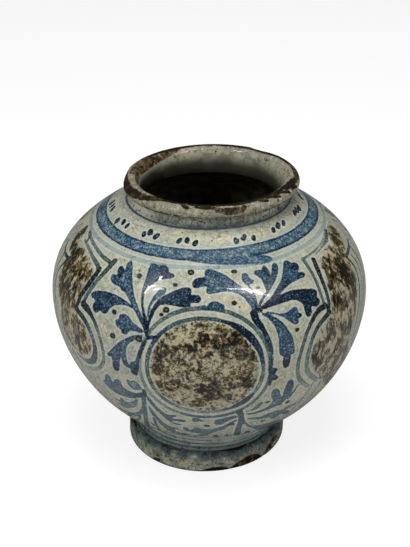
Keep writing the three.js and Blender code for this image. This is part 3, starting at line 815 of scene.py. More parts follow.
def paint_bands(canvas):
    swing = waver(3, 6, 1.0)(canvas.theta)
    swing_2 = waver(4, 9, 1.0)(canvas.theta)
    deep = 0.62 + 0.12 * waver(5, 8, 1.0)(canvas.theta)
    canvas.hoop("cobalt", 0.4 + 0.3 * swing_2, 1.3 + 0.4 * swing, 0.5)
    canvas.hoop("wash", 18.3 + 0.4 * swing, 1.8 + 0.5 * swing_2, 0.45)
    canvas.hoop("wash", 25.5 + 0.5 * swing, 6.8 + 0.4 * swing_2, 0.75)
    canvas.hoop("cobalt", 25.4 + 0.4 * swing, 5.6 + 0.4 * swing_2, 0.40)
    canvas.hoop("cobalt", 21.0 + 0.4 * swing, 0.9 + 0.3 * swing_2, deep)
    canvas.hoop("cobalt", 29.9 + 0.5 * swing, 1.1 + 0.3 * swing_2, deep)
    canvas.hoop("cobalt", 37.0 + 0.5 * swing_2, 1.9 + 0.25 * swing, 0.05)
    canvas.area("cobalt", 0, BAND_OVERLAP, 0.44)
    for down, half_width, tone in ((236, 1.1, 0.4), (241.5, 1.6, 0.45), (247, 1.5, 0.5), (250.5, 1.0, 0.6)):
        canvas.hoop("cobalt", down + 0.8 * swing, half_width + 0.4 * swing_2, tone)
    canvas.hoop("wash", 258, 24, 0.9)
    for down, half_width, tone in ((262, 0.9, 0.5), (266, 0.7, 0.55), (270, 0.9, 0.6), (274.5, 1.3, 0.75)):
        canvas.hoop("cobalt", down + 0.5 * swing_2, half_width + 0.3 * swing, tone)


def paint_petals(canvas, random):
    places = list(PETALS)
    for group in range(PETAL_GROUPS_BEHIND):
        middle = 130 + (group + 0.5) * 26 + random.uniform(-3, 3)
        for step in (-8, 0, 8):
            places.append((middle + step + random.uniform(-1.5, 1.5), 12.5 + random.uniform(-1.5, 1.5)))
    for across, down in places:
        half = random.uniform(2.1, 2.7)
        lean = random.uniform(-0.4, 1.0)
        line = [(across + lean, down - 1.3), (across, down), (across - lean, down + 1.3)]
        tones = (random.uniform(0.6, 1.0), random.uniform(0.75, 1.0))
        canvas.brush("cobalt", 0, (line, (half * 0.75, half, half * 0.9), tones))


def paint_wall(canvas):
    random = np.random.default_rng(11)
    paint_bands(canvas)
    paint_petals(canvas, random)
    for turn in GROUP_TURNS:
        paint_front_group(canvas, turn, random)
        paint_cartouche(canvas, turn - 60, LEFT_CARTOUCHE, LEFT_CARTOUCHE_GROUND, LEFT_CARTOUCHE_DENSE)
        paint_cartouche(canvas, turn + 60, RIGHT_CARTOUCHE, RIGHT_CARTOUCHE_GROUND, RIGHT_CARTOUCHE_DENSE)
        paint_flank(canvas, turn + 90)
    canvas.soften("density", 14)


# Wear of the lip, in degrees round it and mm over it from the neck: the outer side is at about
# 10 mm, the crest at 20 mm and the inner edge at 31 mm
LIP_WEAR = [
    ([(-42, 21), (-25, 21.5), (-12, 21.5), (0, 21), (14, 21), (30, 21), (46, 20), (60, 19), (76, 17)],
     (3.6, 3.2, 3.6, 3.2, 4.2, 3.6, 4.2, 3.8, 3.2), 1.0),
    ([(70, 16), (84, 15.5), (100, 16), (118, 17.5)], (2.6, 3.0, 3.0, 3.2), 0.7),
    ([(112, 17), (132, 19), (152, 19.6), (180, 19.6), (210, 19.6), (232, 18)],
     (3.4, 3.4, 2.8, 2.4, 2.8, 3.4), 0.95),
    ([(-156, 20), (-148, 21), (-136, 23), (-122, 24), (-108, 24), (-94, 22)], (3, 5.5, 7, 7.5, 6.5, 4.5),
     0.6),
    ([(-150, 14), (-134, 12), (-118, 11), (-104, 11)], (2.5, 3.5, 4.0, 4.0), 0.85),
    ([(-106, 24), (-94, 26), (-84, 26.5), (-76, 25)], (2.6, 3.4, 3.2, 1.8), 0.6),
    ([(-104, 8), (-80, 7), (-50, 7), (-20, 7), (10, 7), (40, 7), (70, 7), (100, 8)],
     (0.7, 0.5, 0.8, 0.5, 0.8, 0.5, 0.8), 0.9),
]
LIP_CHIPS = [
    ([(-112, 9), (-104, 10), (-96, 11), (-88, 12), (-78, 12.5), (-68, 13.5), (-57, 14.5), (-47, 16.5),
      (-38, 19)], (2.6, 4.2, 5.0, 5.2, 5.0, 4.6, 4.4, 3.4, 2.0), 0.85),
    ([(3, 15), (10, 12.5), (18, 12.5), (21, 15)], (2.8, 3.6, 3.4, 2.0), 0.75),
    ([(128, 13), (137, 15), (147, 16)], (2.4, 3.8, 2.6), 0.7),
    ([(-19, 18), (-16, 15.5)], (2.4, 1.8), 1.0),
    ([(-10, 18), (-5, 17), (0, 17)], (2.2, 2.4, 2.2), 0.95),
    ([(34, 17.5), (38, 15.5)], (2.2, 1.6), 0.95),
    ([(45, 17), (49, 14.5)], (2.4, 1.6), 0.9),
    ([(56, 16), (60, 13)], (2.2, 1.6), 0.95),
    ([(66, 15), (72, 12)], (2.6, 1.8), 0.95),
    ([(170, 14), (176, 13), (182, 14)], (1.6, 2.2, 1.6), 0.8),
]
# Chips of the foot ring, in degrees round it and mm down from the crease above it
FOOT_CHIPS = [
    ([(10, 0.5), (17, 1.0), (24, 2.0), (31, 1.0)], (1.6, 2.6, 3.0, 1.4), 1.0),
    ([(-2, 22.5), (4, 21.5), (11, 21.5), (15, 23)], (1.4, 2.6, 2.6, 1.4), 1.0),
    ([(17, 23), (23, 20.5), (31, 18.5), (38, 19.5), (42, 22)], (1.6, 3.4, 4.4, 3.8, 1.8), 0.75),
    ([(46, 22.5), (51, 18), (57, 14), (63, 14)], (1.6, 3.6, 4.2, 2.2), 0.6),
    ([(-41, 21.5), (-37, 20.5)], (1.2, 1.6), 1.0),
    ([(-66, 10), (-63, 14), (-62, 18)], (0.9, 1.1, 0.7), 0.95),
    ([(-80, 6), (-74, 4), (-68, 5)], (1.0, 1.6, 1.0), 0.95),
    ([(118, 22), (128, 20), (137, 22)], (1.4, 3.2, 1.6), 0.9),
    ([(205, 22), (212, 21), (220, 22)], (1.2, 2.4, 1.4), 0.8),
]


def paint_on_ring(canvas, name, marks, random, stray):
    """Wear that is given in degrees, and a few stray spots of it."""
    for points, widths, tone in marks:
        radius = float(canvas.radius.mean())
        line = [(math.radians(angle) * radius, down) for angle, down in points]
        samples, shares = smooth_line(line, DAB_STEP)
        for (across, down), half_width in zip(samples, spread(widths, shares)):
            canvas.dab(name, across / radius, down, half_width, tone)
    for _ in range(stray):
        half = random.uniform(0.3, 0.9)
        down = random.uniform(2, canvas.down[-1] - 3)
        canvas.dab(name, random.uniform(0, TURN), down, half, random.uniform(0.6, 0.95))


# Meshes


MERGE = 0.01 * MM            # points closer than this are one
CHUNK = 20000                # vertices looked up at a time
MAP_SPAN = 1.01              # a face over the map's seam reaches a little past 1
INSIDE_DOWN = 400.0          # stands for a place that isn't on the outer face
SKIN = 0.05                  # mm within which a vertex counts as on the outer face
DENT = 0.25 * MM
DENT_WAVES = 30              # how fast the dents change up the wall, for each metre
SEAM_FADE = 10               # mm over which the dents fade out towards the neck
CHIP_RAMP = 3.5              # mm from the edge of a chip to its full depth
WORN_DEPTH = 0.25 * MM


def turned(name, profile, columns, closed=True):
    """Draws a profile point by point in the XZ plane and turns it round the axis."""
    bpy.ops.object.select_all(action="DESELECT")
    bpy.ops.mesh.primitive_plane_add(size=MM, location=(profile[0][0], 0, profile[0][1]))
    bpy.ops.object.transform_apply(location=True, rotation=False, scale=False)
    piece = bpy.context.object
    piece.name = name
    piece.data.name = name
    bpy.ops.object.mode_set(mode="EDIT")
    bpy.ops.mesh.select_all(action="SELECT")
    bpy.ops.mesh.merge(type="CENTER")
    line = profile + [profile[0]] if closed else profile
    for here, there in zip(line, line[1:]):
        step = (there[0] - here[0], 0, there[1] - here[1])
        bpy.ops.mesh.extrude_vertices_move(TRANSFORM_OT_translate={"value": step})
    bpy.ops.mesh.select_all(action="SELECT")
    bpy.ops.mesh.remove_doubles(threshold=MERGE)
    bpy.ops.object.mode_set(mode="OBJECT")
    wheel = piece.modifiers.new("wheel", "SCREW")
    wheel.axis = "Z"
    wheel.steps = columns
    wheel.render_steps = columns
    wheel.use_merge_vertices = True
    wheel.merge_threshold = MERGE
    bpy.ops.object.modifier_apply(modifier=wheel.name)
    bpy.ops.object.mode_set(mode="EDIT")
    bpy.ops.mesh.select_all(action="SELECT")
    bpy.ops.mesh.remove_doubles(threshold=MERGE)
    bpy.ops.mesh.normals_make_consistent(inside=False)
    bpy.ops.object.mode_set(mode="OBJECT")
    return piece


def places(piece):
    co = np.empty(len(piece.data.vertices) * 3)
    piece.data.vertices.foreach_get("co", co)
    return co.reshape(-1, 3)


def put_back(piece, co):
    piece.data.vertices.foreach_set("co", co.ravel())
    piece.data.update()


def write_attribute(piece, name, values):
    attribute = piece.data.attributes.new(name, "FLOAT", "POINT")
    attribute.data.foreach_set("value", values.astype(np.float32))


def nearest_rows(co, line):
    """For each vertex, the index of the profile point that it was spun from."""
    radius = np.hypot(co[:, 0], co[:, 1])
    points = np.array(line)
    found = np.empty(len(co), int)
    for start in range(0, len(co), CHUNK):
        part = slice(start, start + CHUNK)
        gap = (radius[part, None] - points[:, 0]) ** 2 + (co[part, 2, None] - points[:, 1]) ** 2
        found[part] = gap.argmin(1)
    return found


def angles(co):
    """The angle round the jar, 0 at the front and growing to the right."""
    return np.arctan2(co[:, 0], -co[:, 1]) % TURN


def unroll(piece, co, rows, line):
    """A map for baking: the angle across, the way along the profile upward."""
    points = np.array(line + [line[0]])
    along = np.concatenate([[0], np.cumsum(np.hypot(*np.diff(points, axis=0).T))])
    share = along / along[-1]
    mesh = piece.data
    loop_vertex = np.empty(len(mesh.loops), int)
    mesh.loops.foreach_get("vertex_index", loop_vertex)
    starts = np.empty(len(mesh.polygons), int)
    totals = np.empty(len(mesh.polygons), int)
    mesh.polygons.foreach_get("loop_start", starts)
    mesh.polygons.foreach_get("loop_total", totals)
    face = np.repeat(np.arange(len(starts)), totals)
    on_axis = np.hypot(co[:, 0], co[:, 1]) < MERGE
    across = (angles(co) / TURN)[loop_vertex]
    upward = share[rows][loop_vertex]
    for values in (across, upward):
        low = np.full(len(starts), 2.0)
        high = np.full(len(starts), -1.0)
        counted = ~on_axis[loop_vertex] if values is across else np.ones(len(values), bool)
        np.minimum.at(low, face[counted], values[counted])
        np.maximum.at(high, face[counted], values[counted])
        wraps = (high - low)[face] > 0.5
        values[wraps & (values < 0.5)] += 1.0
    middle = np.zeros(len(starts))
    used = np.zeros(len(starts))
    counted = ~on_axis[loop_vertex]
    np.add.at(middle, face[counted], across[counted])
    np.add.at(used, face[counted], 1)
    pole = on_axis[loop_vertex]
    across[pole] = (middle / np.maximum(used, 1))[face[pole]]
    layer = mesh.uv_layers.new(name="OFBake")
    layer.data.foreach_set("uv", (np.stack([across, upward], 1) / MAP_SPAN).ravel().astype(np.float32))


def mapped(piece, profile):
    """The vertices of a turned piece and the profile point of each, with the map for baking made."""
    co = places(piece)
    rows = nearest_rows(co, profile)
    unroll(piece, co, rows, profile)
    return co, rows


# The hand-made lean: how far the jar's middle is off the axis at some heights, in metres
LEAN = [
    (0.000, -0.0036), (0.019, -0.0030), (0.040, 0.0006), (0.090, 0.0012), (0.150, 0.0010), (0.200, 0.0003),
    (0.232, 0.0004), (0.242, 0.0018), (0.250, 0.0036), (0.260, 0.0040),
]


def lean(co):
    heights, amounts = zip(*LEAN)
    fine = np.linspace(-0.005, 0.265, 541)
    values = np.interp(fine, heights, amounts)
    kernel = np.hanning(15)
    smooth = np.convolve(np.pad(values, 7, mode="edge"), kernel / kernel.sum(), mode="valid")
    co[:, 0] += np.interp(co[:, 2], fine, smooth)
    return co


def finish_piece(piece, material_name, node_slot, *nodes):
    bpy.ops.object.select_all(action="DESELECT")
    piece.select_set(True)
    bpy.context.view_layer.objects.active = piece
    bpy.ops.object.shade_smooth_by_angle(angle=math.radians(50))
    piece.data.materials.clear()
    piece.data.materials.append(bpy.data.materials[material_name])
    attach(piece, "root")
    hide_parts(*nodes)


WALL_LAYERS = ("cobalt", "slate", "dots", "manganese", "streaked", "density", "wash")
CANVASES = {}


def wall_canvas():
    if "wall" not in CANVASES:
        canvas = Canvas(outer_upper() + outer_lower()[1:], sizes().columns)
        paint_wall(canvas)
        CANVASES["wall"] = canvas
    return CANVASES["wall"]


def write_layers(piece, canvas, names, theta, down, outer):
    """Keeps the canvas on the mesh: the distances and tones of each layer on the outer face."""
    for name in names:
        inside, tone = canvas.layer(name)
        write_attribute(piece, name, np.where(outer, canvas.rows_of(theta, down, inside), EDGE))
        write_attribute(piece, name + "_tone", np.where(outer, canvas.rows_of(theta, down, tone), 0))
    write_place(piece, outer, down)


def write_place(piece, outer, down):
    write_attribute(piece, "outer", outer.astype(float))
    write_attribute(piece, "down", np.where(outer, down, INSIDE_DOWN))


def dress_wall(piece, profile):
    """Puts the painting on the outer face and bends the mesh."""
    canvas = wall_canvas()
    co, _ = mapped(piece, profile)
    theta = angles(co)
    radius = np.hypot(co[:, 0], co[:, 1]) / MM
    height = co[:, 2] / MM
    down = np.interp(-height, -canvas.height, canvas.down)
    outer = np.abs(radius - np.interp(-height, -canvas.height, canvas.radius)) < SKIN
    write_layers(piece, canvas, WALL_LAYERS, theta, down, outer)
    dents = DENT * waver(21, 7, 1.0)(theta) * np.sin((co[:, 2] - 0.02) * DENT_WAVES)
    scale = 1 + np.where(outer, dents, 0) / np.maximum(np.hypot(co[:, 0], co[:, 1]), MM)
    seam = np.clip(np.abs(height - sizes().neck_z / MM) / SEAM_FADE, 0, 1)
    scale = 1 + (scale - 1) * seam
    co[:, 0] *= scale
    co[:, 1] *= scale
    put_back(piece, lean(co))


def wear_piece(piece, profile, canvas, depth, random):
    """Chips and wear on a ring: distances on the mesh, and clay taken away under them."""
    co, rows = mapped(piece, profile)
    theta = angles(co)
    along = np.interp(np.arange(len(profile)), np.arange(len(canvas.down)), canvas.down)
    down = along[rows]
    outer = rows < len(canvas.down)
    normals = np.empty(len(co) * 3)
    piece.data.vertices.foreach_get("normal", normals)
    normals = normals.reshape(-1, 3)
    write_layers(piece, canvas, ("worn", "chip"), theta, down, outer)
    chip, worn = (np.where(outer, canvas.rows_of(theta, down, canvas.layer(name)[0]), EDGE)
                  for name in ("chip", "worn"))
    rough = 0.5 + 0.5 * random.random(len(co))
    taken = depth * np.clip(chip / CHIP_RAMP + 0.15, 0, 1) ** 0.7 * (0.8 + 0.2 * rough)
    taken += WORN_DEPTH * np.clip(worn + 0.3, 0, 1) * rough
    co -= normals * taken[:, None]
    put_back(piece, lean(co))


# Materials


class Nodes:
    """Short ways to add shader nodes to a tree."""

    def __init__(self, tree):
        self.tree = tree

    def new(self, kind, **settings):
        node = self.tree.nodes.new(kind)
        for name, value in settings.items():
            setattr(node, name, value)
        return node

    def put(self, socket, value):
        if isinstance(value, bpy.types.NodeSocket):
            self.tree.links.new(value, socket)
        elif isinstance(value, (tuple, list)) or hasattr(value, "__len__"):
            default = tuple(value)
            socket.default_value = default + (1.0,) * (len(socket.default_value) - len(default))
        else:
            socket.default_value = value

    def math(self, operation, first, second, clamp=False):
        node = self.new("ShaderNodeMath", operation=operation, use_clamp=clamp)
        self.put(node.inputs[0], first)
        self.put(node.inputs[1], second)
        return node.outputs[0]

    def add(self, first, second, clamp=False):
        return self.math("ADD", first, second, clamp)

    def times(self, first, second):
        return self.math("MULTIPLY", first, second)

    def mix(self, factor, first, second):
        node = self.new("ShaderNodeMix", data_type="RGBA")
        self.put(node.inputs[0], factor)
        self.put(node.inputs[6], first)
        self.put(node.inputs[7], second)
        return node.outputs[2]

    def blend(self, factor, first, second):
        node = self.new("ShaderNodeMix", data_type="FLOAT")
        self.put(node.inputs[0], factor)
        self.put(node.inputs[2], first)
        self.put(node.inputs[3], second)
        return node.outputs[0]

    def step(self, value, low, high, to_low=0.0, to_high=1.0):
        node = self.new("ShaderNodeMapRange", interpolation_type="SMOOTHSTEP")
        for socket, number in zip(node.inputs, (value, low, high, to_low, to_high)):
            self.put(socket, number)
        return node.outputs[0]

    def noise(self, vector, size, detail=3.0, roughness=0.5, distortion=0.0):
        """Noise whose features are about this many mm."""
        node = self.new("ShaderNodeTexNoise")
        self.put(node.inputs["Vector"], vector)
        self.put(node.inputs["Scale"], 1 / (size * MM))
        self.put(node.inputs["Detail"], detail)
        self.put(node.inputs["Roughness"], roughness)
        self.put(node.inputs["Distortion"], distortion)
        return node.outputs["Fac"]

    def swing(self, vector, size, amount, detail=3.0, roughness=0.6):
        """Noise about zero that mostly keeps within this amount."""
        centred = self.math("SUBTRACT", self.noise(vector, size, detail, roughness), 0.5)
        return self.times(centred, 4.5 * amount)

    def patches(self, vector, size, low, high, amount=1.0):
        """Ragged patches of noise: 0 outside them, this amount inside."""
        return self.step(self.noise(vector, size, 4, 0.7), low, high, 0.0, amount)

    def cells(self, vector, size, feature="F1"):
        node = self.new("ShaderNodeTexVoronoi", feature=feature)
        self.put(node.inputs["Vector"], vector)
        self.put(node.inputs["Scale"], 1 / (size * MM))
        return node.outputs["Distance"]

    def axis(self, vector, letter):
        node = self.new("ShaderNodeSeparateXYZ")
        self.put(node.inputs[0], vector)
        return node.outputs[letter]

    def attribute(self, name):
        return self.new("ShaderNodeAttribute", attribute_name=name).outputs["Fac"]

    def group(self, name, **values):
        node = self.new("ShaderNodeGroup", node_tree=bpy.data.node_groups[name])
        for key, value in values.items():
            self.put(node.inputs[key], value)
        return node.outputs

    def painted(self, name, vector, layer, **values):
        """A paint group, fed with the distance and the tone of a layer."""
        inside = self.attribute(layer)
        tone = self.attribute(layer + "_tone")
        return self.group(name, Vector=vector, Inside=inside, Tone=tone, **values)


def new_group(name, inputs, outputs):
    tree = bpy.data.node_groups.new(name, "ShaderNodeTree")
    for label, kind, default in inputs:
        socket = tree.interface.new_socket(label, in_out="INPUT", socket_type="NodeSocket" + kind)
        if default is not None:
            socket.default_value = default
    for label, kind in outputs:
        tree.interface.new_socket(label, in_out="OUTPUT", socket_type="NodeSocket" + kind)
    nodes = Nodes(tree)
    given = nodes.new("NodeGroupInput").outputs
    result = nodes.new("NodeGroupOutput").inputs
    return nodes, given, result


def rgba(colour):
    return tuple(colour) + (1.0,)


def build_glaze_ground():
    """Crackled, pitted, cloudy tin glaze."""
    c = colours()
    nodes, given, result = new_group("glaze ground", [
        ("Vector", "Vector", None), ("Clean", "Color", rgba(c.cream)),
        ("Thin", "Color", rgba(c.grey_cream)), ("Crackle", "Float", 0.6), ("Pits", "Float", 1.0),
        ("Dirt", "Float", 0.5),
    ], [("Color", "Color"), ("Height", "Float"), ("Roughness", "Float")])
    vector = given["Vector"]
    cloud = nodes.noise(vector, 34, 4, 0.6, 0.4)
    smear = nodes.noise(vector, 9, 5, 0.7)
    grain = nodes.noise(vector, 2.6, 3, 0.75)
    cloudy = nodes.add(nodes.times(cloud, 0.6), nodes.times(smear, 0.6))
    base = nodes.mix(nodes.step(cloudy, 0.52, 0.68), given["Clean"], given["Thin"])
    base = nodes.mix(nodes.step(grain, 0.53, 0.64, 0, 0.6), base, linear(100, 102, 88))
    base = nodes.mix(nodes.step(grain, 0.45, 0.34, 0, 0.5), base, linear(226, 222, 202))
    soil = nodes.times(nodes.patches(vector, 10, 0.52, 0.62), given["Dirt"])
    base = nodes.mix(soil, base, linear(88, 86, 70))
    bent = nodes.new("ShaderNodeVectorMath", operation="ADD")
    shake = nodes.new("ShaderNodeTexNoise")
    nodes.put(shake.inputs["Vector"], vector)
    nodes.put(shake.inputs["Scale"], 1 / (5 * MM))
    scaled = nodes.new("ShaderNodeVectorMath", operation="SCALE")
    nodes.put(scaled.inputs[0], shake.outputs["Color"])
    nodes.put(scaled.inputs["Scale"], 1.6 * MM)
    nodes.put(bent.inputs[0], vector)
    nodes.put(bent.inputs[1], scaled.outputs[0])
    line = nodes.cells(bent.outputs[0], 5.4, "DISTANCE_TO_EDGE")
    patchy = nodes.step(nodes.noise(vector, 16, 2), 0.38, 0.62, 0.25, 1.0)
    cracks = nodes.times(nodes.step(line, 0.085, 0.02), patchy)
    cracks = nodes.times(cracks, given["Crackle"])
    base = nodes.mix(cracks, base, tuple(c.crackle))
    pit = nodes.step(nodes.cells(vector, 5.0, "F1"), 0.19, 0.10)
    few = nodes.step(nodes.noise(vector, 9, 2), 0.48, 0.52)
    pits = nodes.times(nodes.times(pit, few), given["Pits"])
    base = nodes.mix(pits, base, linear(48, 44, 36))
    low = nodes.add(nodes.times(cracks, 0.25), pits)
    height = nodes.math("SUBTRACT", nodes.times(smear, 0.5), low)
    nodes.put(result["Color"], base)
    nodes.put(result["Height"], height)
    nodes.put(result["Roughness"], nodes.step(cloudy, 0.4, 0.8, 0.15, 0.32))


def build_cobalt():
    """Blue brushwork: a ragged edge, speckle inside it, and darker where the brush rested."""
    c = colours()
    nodes, given, result = new_group("cobalt brushwork", [
        ("Vector", "Vector", None), ("Inside", "Float", EDGE), ("Tone", "Float", 0.5),
        ("Pale", "Color", rgba(c.pale_cobalt)), ("Middle", "Color", rgba(c.cobalt)),
        ("Deep", "Color", rgba(c.deep_cobalt)),
    ], [("Mask", "Float"), ("Color", "Color")])
    vector = given["Vector"]
    depth = nodes.add(given["Inside"], nodes.swing(vector, 3.0, 0.4))
    mask = nodes.step(depth, -0.25, 0.3)
    rim = nodes.times(nodes.step(depth, 2.0, 0.4, 0, 0.5), given["Tone"])
    speckle = nodes.swing(vector, 1.8, 0.54, 2, 0.85)
    grain = nodes.times(speckle, nodes.add(given["Tone"], 0.35))
    tone = nodes.add(nodes.add(given["Tone"], grain), nodes.swing(vector, 8, 0.16))
    tone = nodes.add(tone, rim, clamp=True)
    colour = nodes.mix(nodes.step(tone, 0.08, 0.5), given["Pale"], given["Middle"])
    colour = nodes.mix(nodes.step(tone, 0.5, 0.95), colour, given["Deep"])
    bubbles = nodes.step(nodes.cells(vector, 2.4, "F1"), 0.30, 0.14, 0.0, 0.5)
    colour = nodes.mix(bubbles, colour, linear(112, 138, 150))
    thin = nodes.step(tone, 0.0, 0.3, 0.72, 1.0)
    nodes.put(result["Mask"], nodes.times(mask, thin))
    nodes.put(result["Color"], colour)


def build_manganese():
    """Sponged brown: black, brown, rusty and olive blotches that leave patches of the ground bare."""
    c = colours()
    nodes, given, result = new_group("manganese sponging", [
        ("Vector", "Vector", None), ("Inside", "Float", EDGE), ("Density", "Float", 0.0),
    ], [("Mask", "Float"), ("Color", "Color")])
    vector = given["Vector"]
    depth = nodes.add(given["Inside"], nodes.swing(vector, 5, 2.4, 4))
    blot = nodes.noise(vector, 7.2, 4, 0.65, 0.6)
    fleck = nodes.noise(vector, 2.9, 3, 0.75, 0.3)
    mixed = nodes.add(nodes.times(blot, 0.5), nodes.times(fleck, 0.5))
    mixed = nodes.add(mixed, nodes.times(given["Density"], 0.105))
    colour = nodes.mix(nodes.patches(vector, 6, 0.515, 0.59), tuple(c.manganese), tuple(c.rust))
    colour = nodes.mix(nodes.patches(vector, 7.5, 0.54, 0.60, 0.75), colour, linear(96, 110, 108))
    colour = nodes.mix(nodes.step(mixed, 0.47, 0.52), tuple(c.olive), colour)
    colour = nodes.mix(nodes.step(mixed, 0.525, 0.595), colour, tuple(c.deep_manganese))
    cover = nodes.step(mixed, 0.415, 0.475, 0.35, 1.0)
    nodes.put(result["Mask"], nodes.times(nodes.step(depth, -0.8, 0.8), cover))
    nodes.put(result["Color"], colour)


def build_bare_clay():
    """Worn edges and chips down to the fired body, with a dark rim."""
    c = colours()
    nodes, given, result = new_group("bare clay", [
        ("Vector", "Vector", None), ("Inside", "Float", EDGE), ("Tone", "Float", 0.5),
    ], [("Mask", "Float"), ("Color", "Color"), ("Height", "Float")])
    vector = given["Vector"]
    depth = nodes.add(given["Inside"], nodes.swing(vector, 5, 1.5, 5, 0.75))
    mask = nodes.step(depth, -0.3, 0.3)
    grain = nodes.noise(vector, 3.0, 4, 0.75)
    tone = nodes.add(given["Tone"], nodes.swing(vector, 4.5, 0.5, 4, 0.75), clamp=True)
    colour = nodes.mix(nodes.step(tone, 0.0, 0.45), linear(158, 140, 108), tuple(c.clay))
    colour = nodes.mix(nodes.step(tone, 0.45, 0.85), colour, tuple(c.dark_clay))
    colour = nodes.mix(nodes.step(grain, 0.52, 0.60, 0.0, 0.75), colour, linear(18, 15, 11))
    pale = nodes.times(nodes.step(grain, 0.44, 0.37, 0.0, 0.7), nodes.step(tone, 0.75, 0.35))
    colour = nodes.mix(pale, colour, linear(150, 138, 110))
    nodes.put(result["Mask"], mask)
    nodes.put(result["Color"], colour)
    nodes.put(result["Height"], nodes.times(grain, mask))


def start_material(name):
    material = bpy.data.materials.new(name)
    material.use_nodes = True
    nodes = Nodes(material.node_tree)
    shader = material.node_tree.nodes["Principled BSDF"]
    vector = nodes.new("ShaderNodeTexCoord").outputs["Object"]
    return nodes, shader, vector


def glaze_shader(nodes, shader, colour, roughness, height, strength, coat=0.3, ior=1.5):
    bump = nodes.new("ShaderNodeBump")
    nodes.put(bump.inputs["Strength"], strength)
    nodes.put(bump.inputs["Distance"], 0.4 * MM)
    nodes.put(bump.inputs["Height"], height)
    nodes.put(shader.inputs["Base Color"], colour)
    nodes.put(shader.inputs["Roughness"], roughness)
    nodes.put(shader.inputs["Normal"], bump.outputs[0])
    shader.inputs["IOR"].default_value = ior
    shader.inputs["Coat Weight"].default_value = coat
    shader.inputs["Coat Roughness"].default_value = 0.05


def stretched(nodes, vector, narrow, tall):
    """Coordinates that make features narrower across and taller up the wall."""
    node = nodes.new("ShaderNodeVectorMath", operation="MULTIPLY")
    nodes.put(node.inputs[0], vector)
    nodes.put(node.inputs[1], (1 / narrow, 1 / narrow, 1 / tall))
    return node.outputs[0]


def material_painted():
    """The belly: ground, blue washes, brushwork, dots and sponging under one glaze; painted shade in
    creases.
    """
    c = colours()
    nodes, shader, vector = start_material("painted glaze")
    down = nodes.attribute("down")
    dirt = nodes.add(nodes.step(down, 14, 0, 0.2, 0.5), nodes.step(down, 225, 262, 0, 0.6))
    ground = nodes.group("glaze ground", Vector=vector, Dirt=dirt)
    wash = nodes.step(nodes.add(nodes.attribute("wash"), nodes.swing(vector, 6, 1.5)), -1.2, 1.2)
    wash = nodes.times(wash, nodes.attribute("wash_tone"))
    colour = nodes.mix(wash, ground["Color"], tuple(c.wash))
    beside = nodes.math("MAXIMUM", nodes.attribute("cobalt"), nodes.attribute("slate"))
    colour = nodes.mix(nodes.step(beside, -5.0, -1.5, 0.0, 0.3), colour, linear(150, 158, 152))
    colour = nodes.mix(nodes.step(beside, -1.9, -0.9, 0.0, 0.22), colour, linear(212, 212, 194))
    dense = nodes.attribute("density_tone")
    streaks = stretched(nodes, vector, 1.25, 2.3)
    denser = nodes.add(dense, 0.08)
    for layer, place, density in (("manganese", vector, dense), ("streaked", streaks, denser)):
        inside = nodes.attribute(layer)
        brown = nodes.group("manganese sponging", Vector=place, Inside=inside, Density=density)
        colour = nodes.mix(brown["Mask"], colour, brown["Color"])
    slate = nodes.painted("cobalt brushwork", vector, "slate", Pale=linear(126, 138, 128),
                          Middle=linear(64, 82, 82), Deep=linear(12, 20, 24))
    colour = nodes.mix(slate["Mask"], colour, slate["Color"])
    blue = nodes.painted("cobalt brushwork", vector, "cobalt")
    greyer = nodes.step(down, 125, 205, 0.0, 0.5)
    colour = nodes.mix(blue["Mask"], colour, nodes.mix(greyer, blue["Color"], linear(84, 104, 106)))
    dot = nodes.painted("cobalt brushwork", vector, "dots")
    depth = nodes.attribute("dots")
    dot_colour = nodes.mix(nodes.step(depth, 0.0, 0.9, 0.3, 0.7), dot["Color"], linear(38, 36, 28))
    dot_colour = nodes.mix(nodes.step(depth, 1.5, 2.1, 0.0, 0.9), dot_colour, linear(112, 98, 62))
    colour = nodes.mix(dot["Mask"], colour, dot_colour)
    low = nodes.add(down, nodes.swing(vector, 9, 7.0, 4))
    # Blue-grey painted shade over the collar, darkest towards the foot crease.
    colour = nodes.mix(nodes.step(low, 262.0, 276.0, 0.0, 0.6), colour, linear(80, 96, 98))
    # Blue-grey painted shade in the crease under the neck.
    crease = nodes.step(nodes.add(down, nodes.swing(vector, 7, 0.7)), 3.2, 0.6, 0.0, 0.8)
    colour = nodes.mix(crease, colour, linear(72, 86, 86))
    near_foot = nodes.step(low, 268.0, 277.0, 0.0, 0.9)
    pitted = nodes.times(nodes.patches(vector, 3.6, 0.54, 0.60), near_foot)
    colour = nodes.mix(pitted, colour, tuple(c.grime))
    inner = nodes.step(nodes.attribute("outer"), 0.5, 0.4)
    colour = nodes.mix(inner, colour, throat_glaze_and_shade(nodes, vector))
    roughness = nodes.blend(inner, ground["Roughness"], 0.75)
    glaze_shader(nodes, shader, colour, roughness, ground["Height"], 0.6)
    nodes.put(shader.inputs["Coat Weight"], nodes.step(inner, 0.0, 1.0, 0.4, 0.0))


def throat_glaze_and_shade(nodes, vector):
    """The stained inside: grey-green glaze under the lip, then painted shade darker and darker with depth.
    """
    c = colours()
    level = nodes.add(nodes.axis(vector, "Z"), nodes.swing(vector, 14, 0.0022))
    glaze = nodes.mix(nodes.patches(vector, 8, 0.48, 0.58), tuple(c.throat), linear(128, 128, 108))
    glaze = nodes.mix(nodes.patches(vector, 3.2, 0.58, 0.64, 0.6), glaze, linear(92, 92, 76))
    # Painted shade: the glaze darkens to near black with depth inside the mouth.
    colour = nodes.mix(nodes.step(level, 0.256, 0.243), glaze, linear(66, 65, 52))
    colour = nodes.mix(nodes.step(level, 0.2465, 0.2335), colour, linear(20, 19, 15))
    stained = nodes.mix(nodes.patches(vector, 16, 0.44, 0.58), linear(104, 98, 82), linear(62, 56, 44))
    ringed = nodes.step(nodes.noise(stretched(nodes, vector, 9, 0.5), 14, 3), 0.45, 0.6, 0.0, 0.5)
    stained = nodes.mix(ringed, stained, linear(70, 66, 54))
    return nodes.mix(nodes.step(level, 0.234, 0.222), colour, stained)


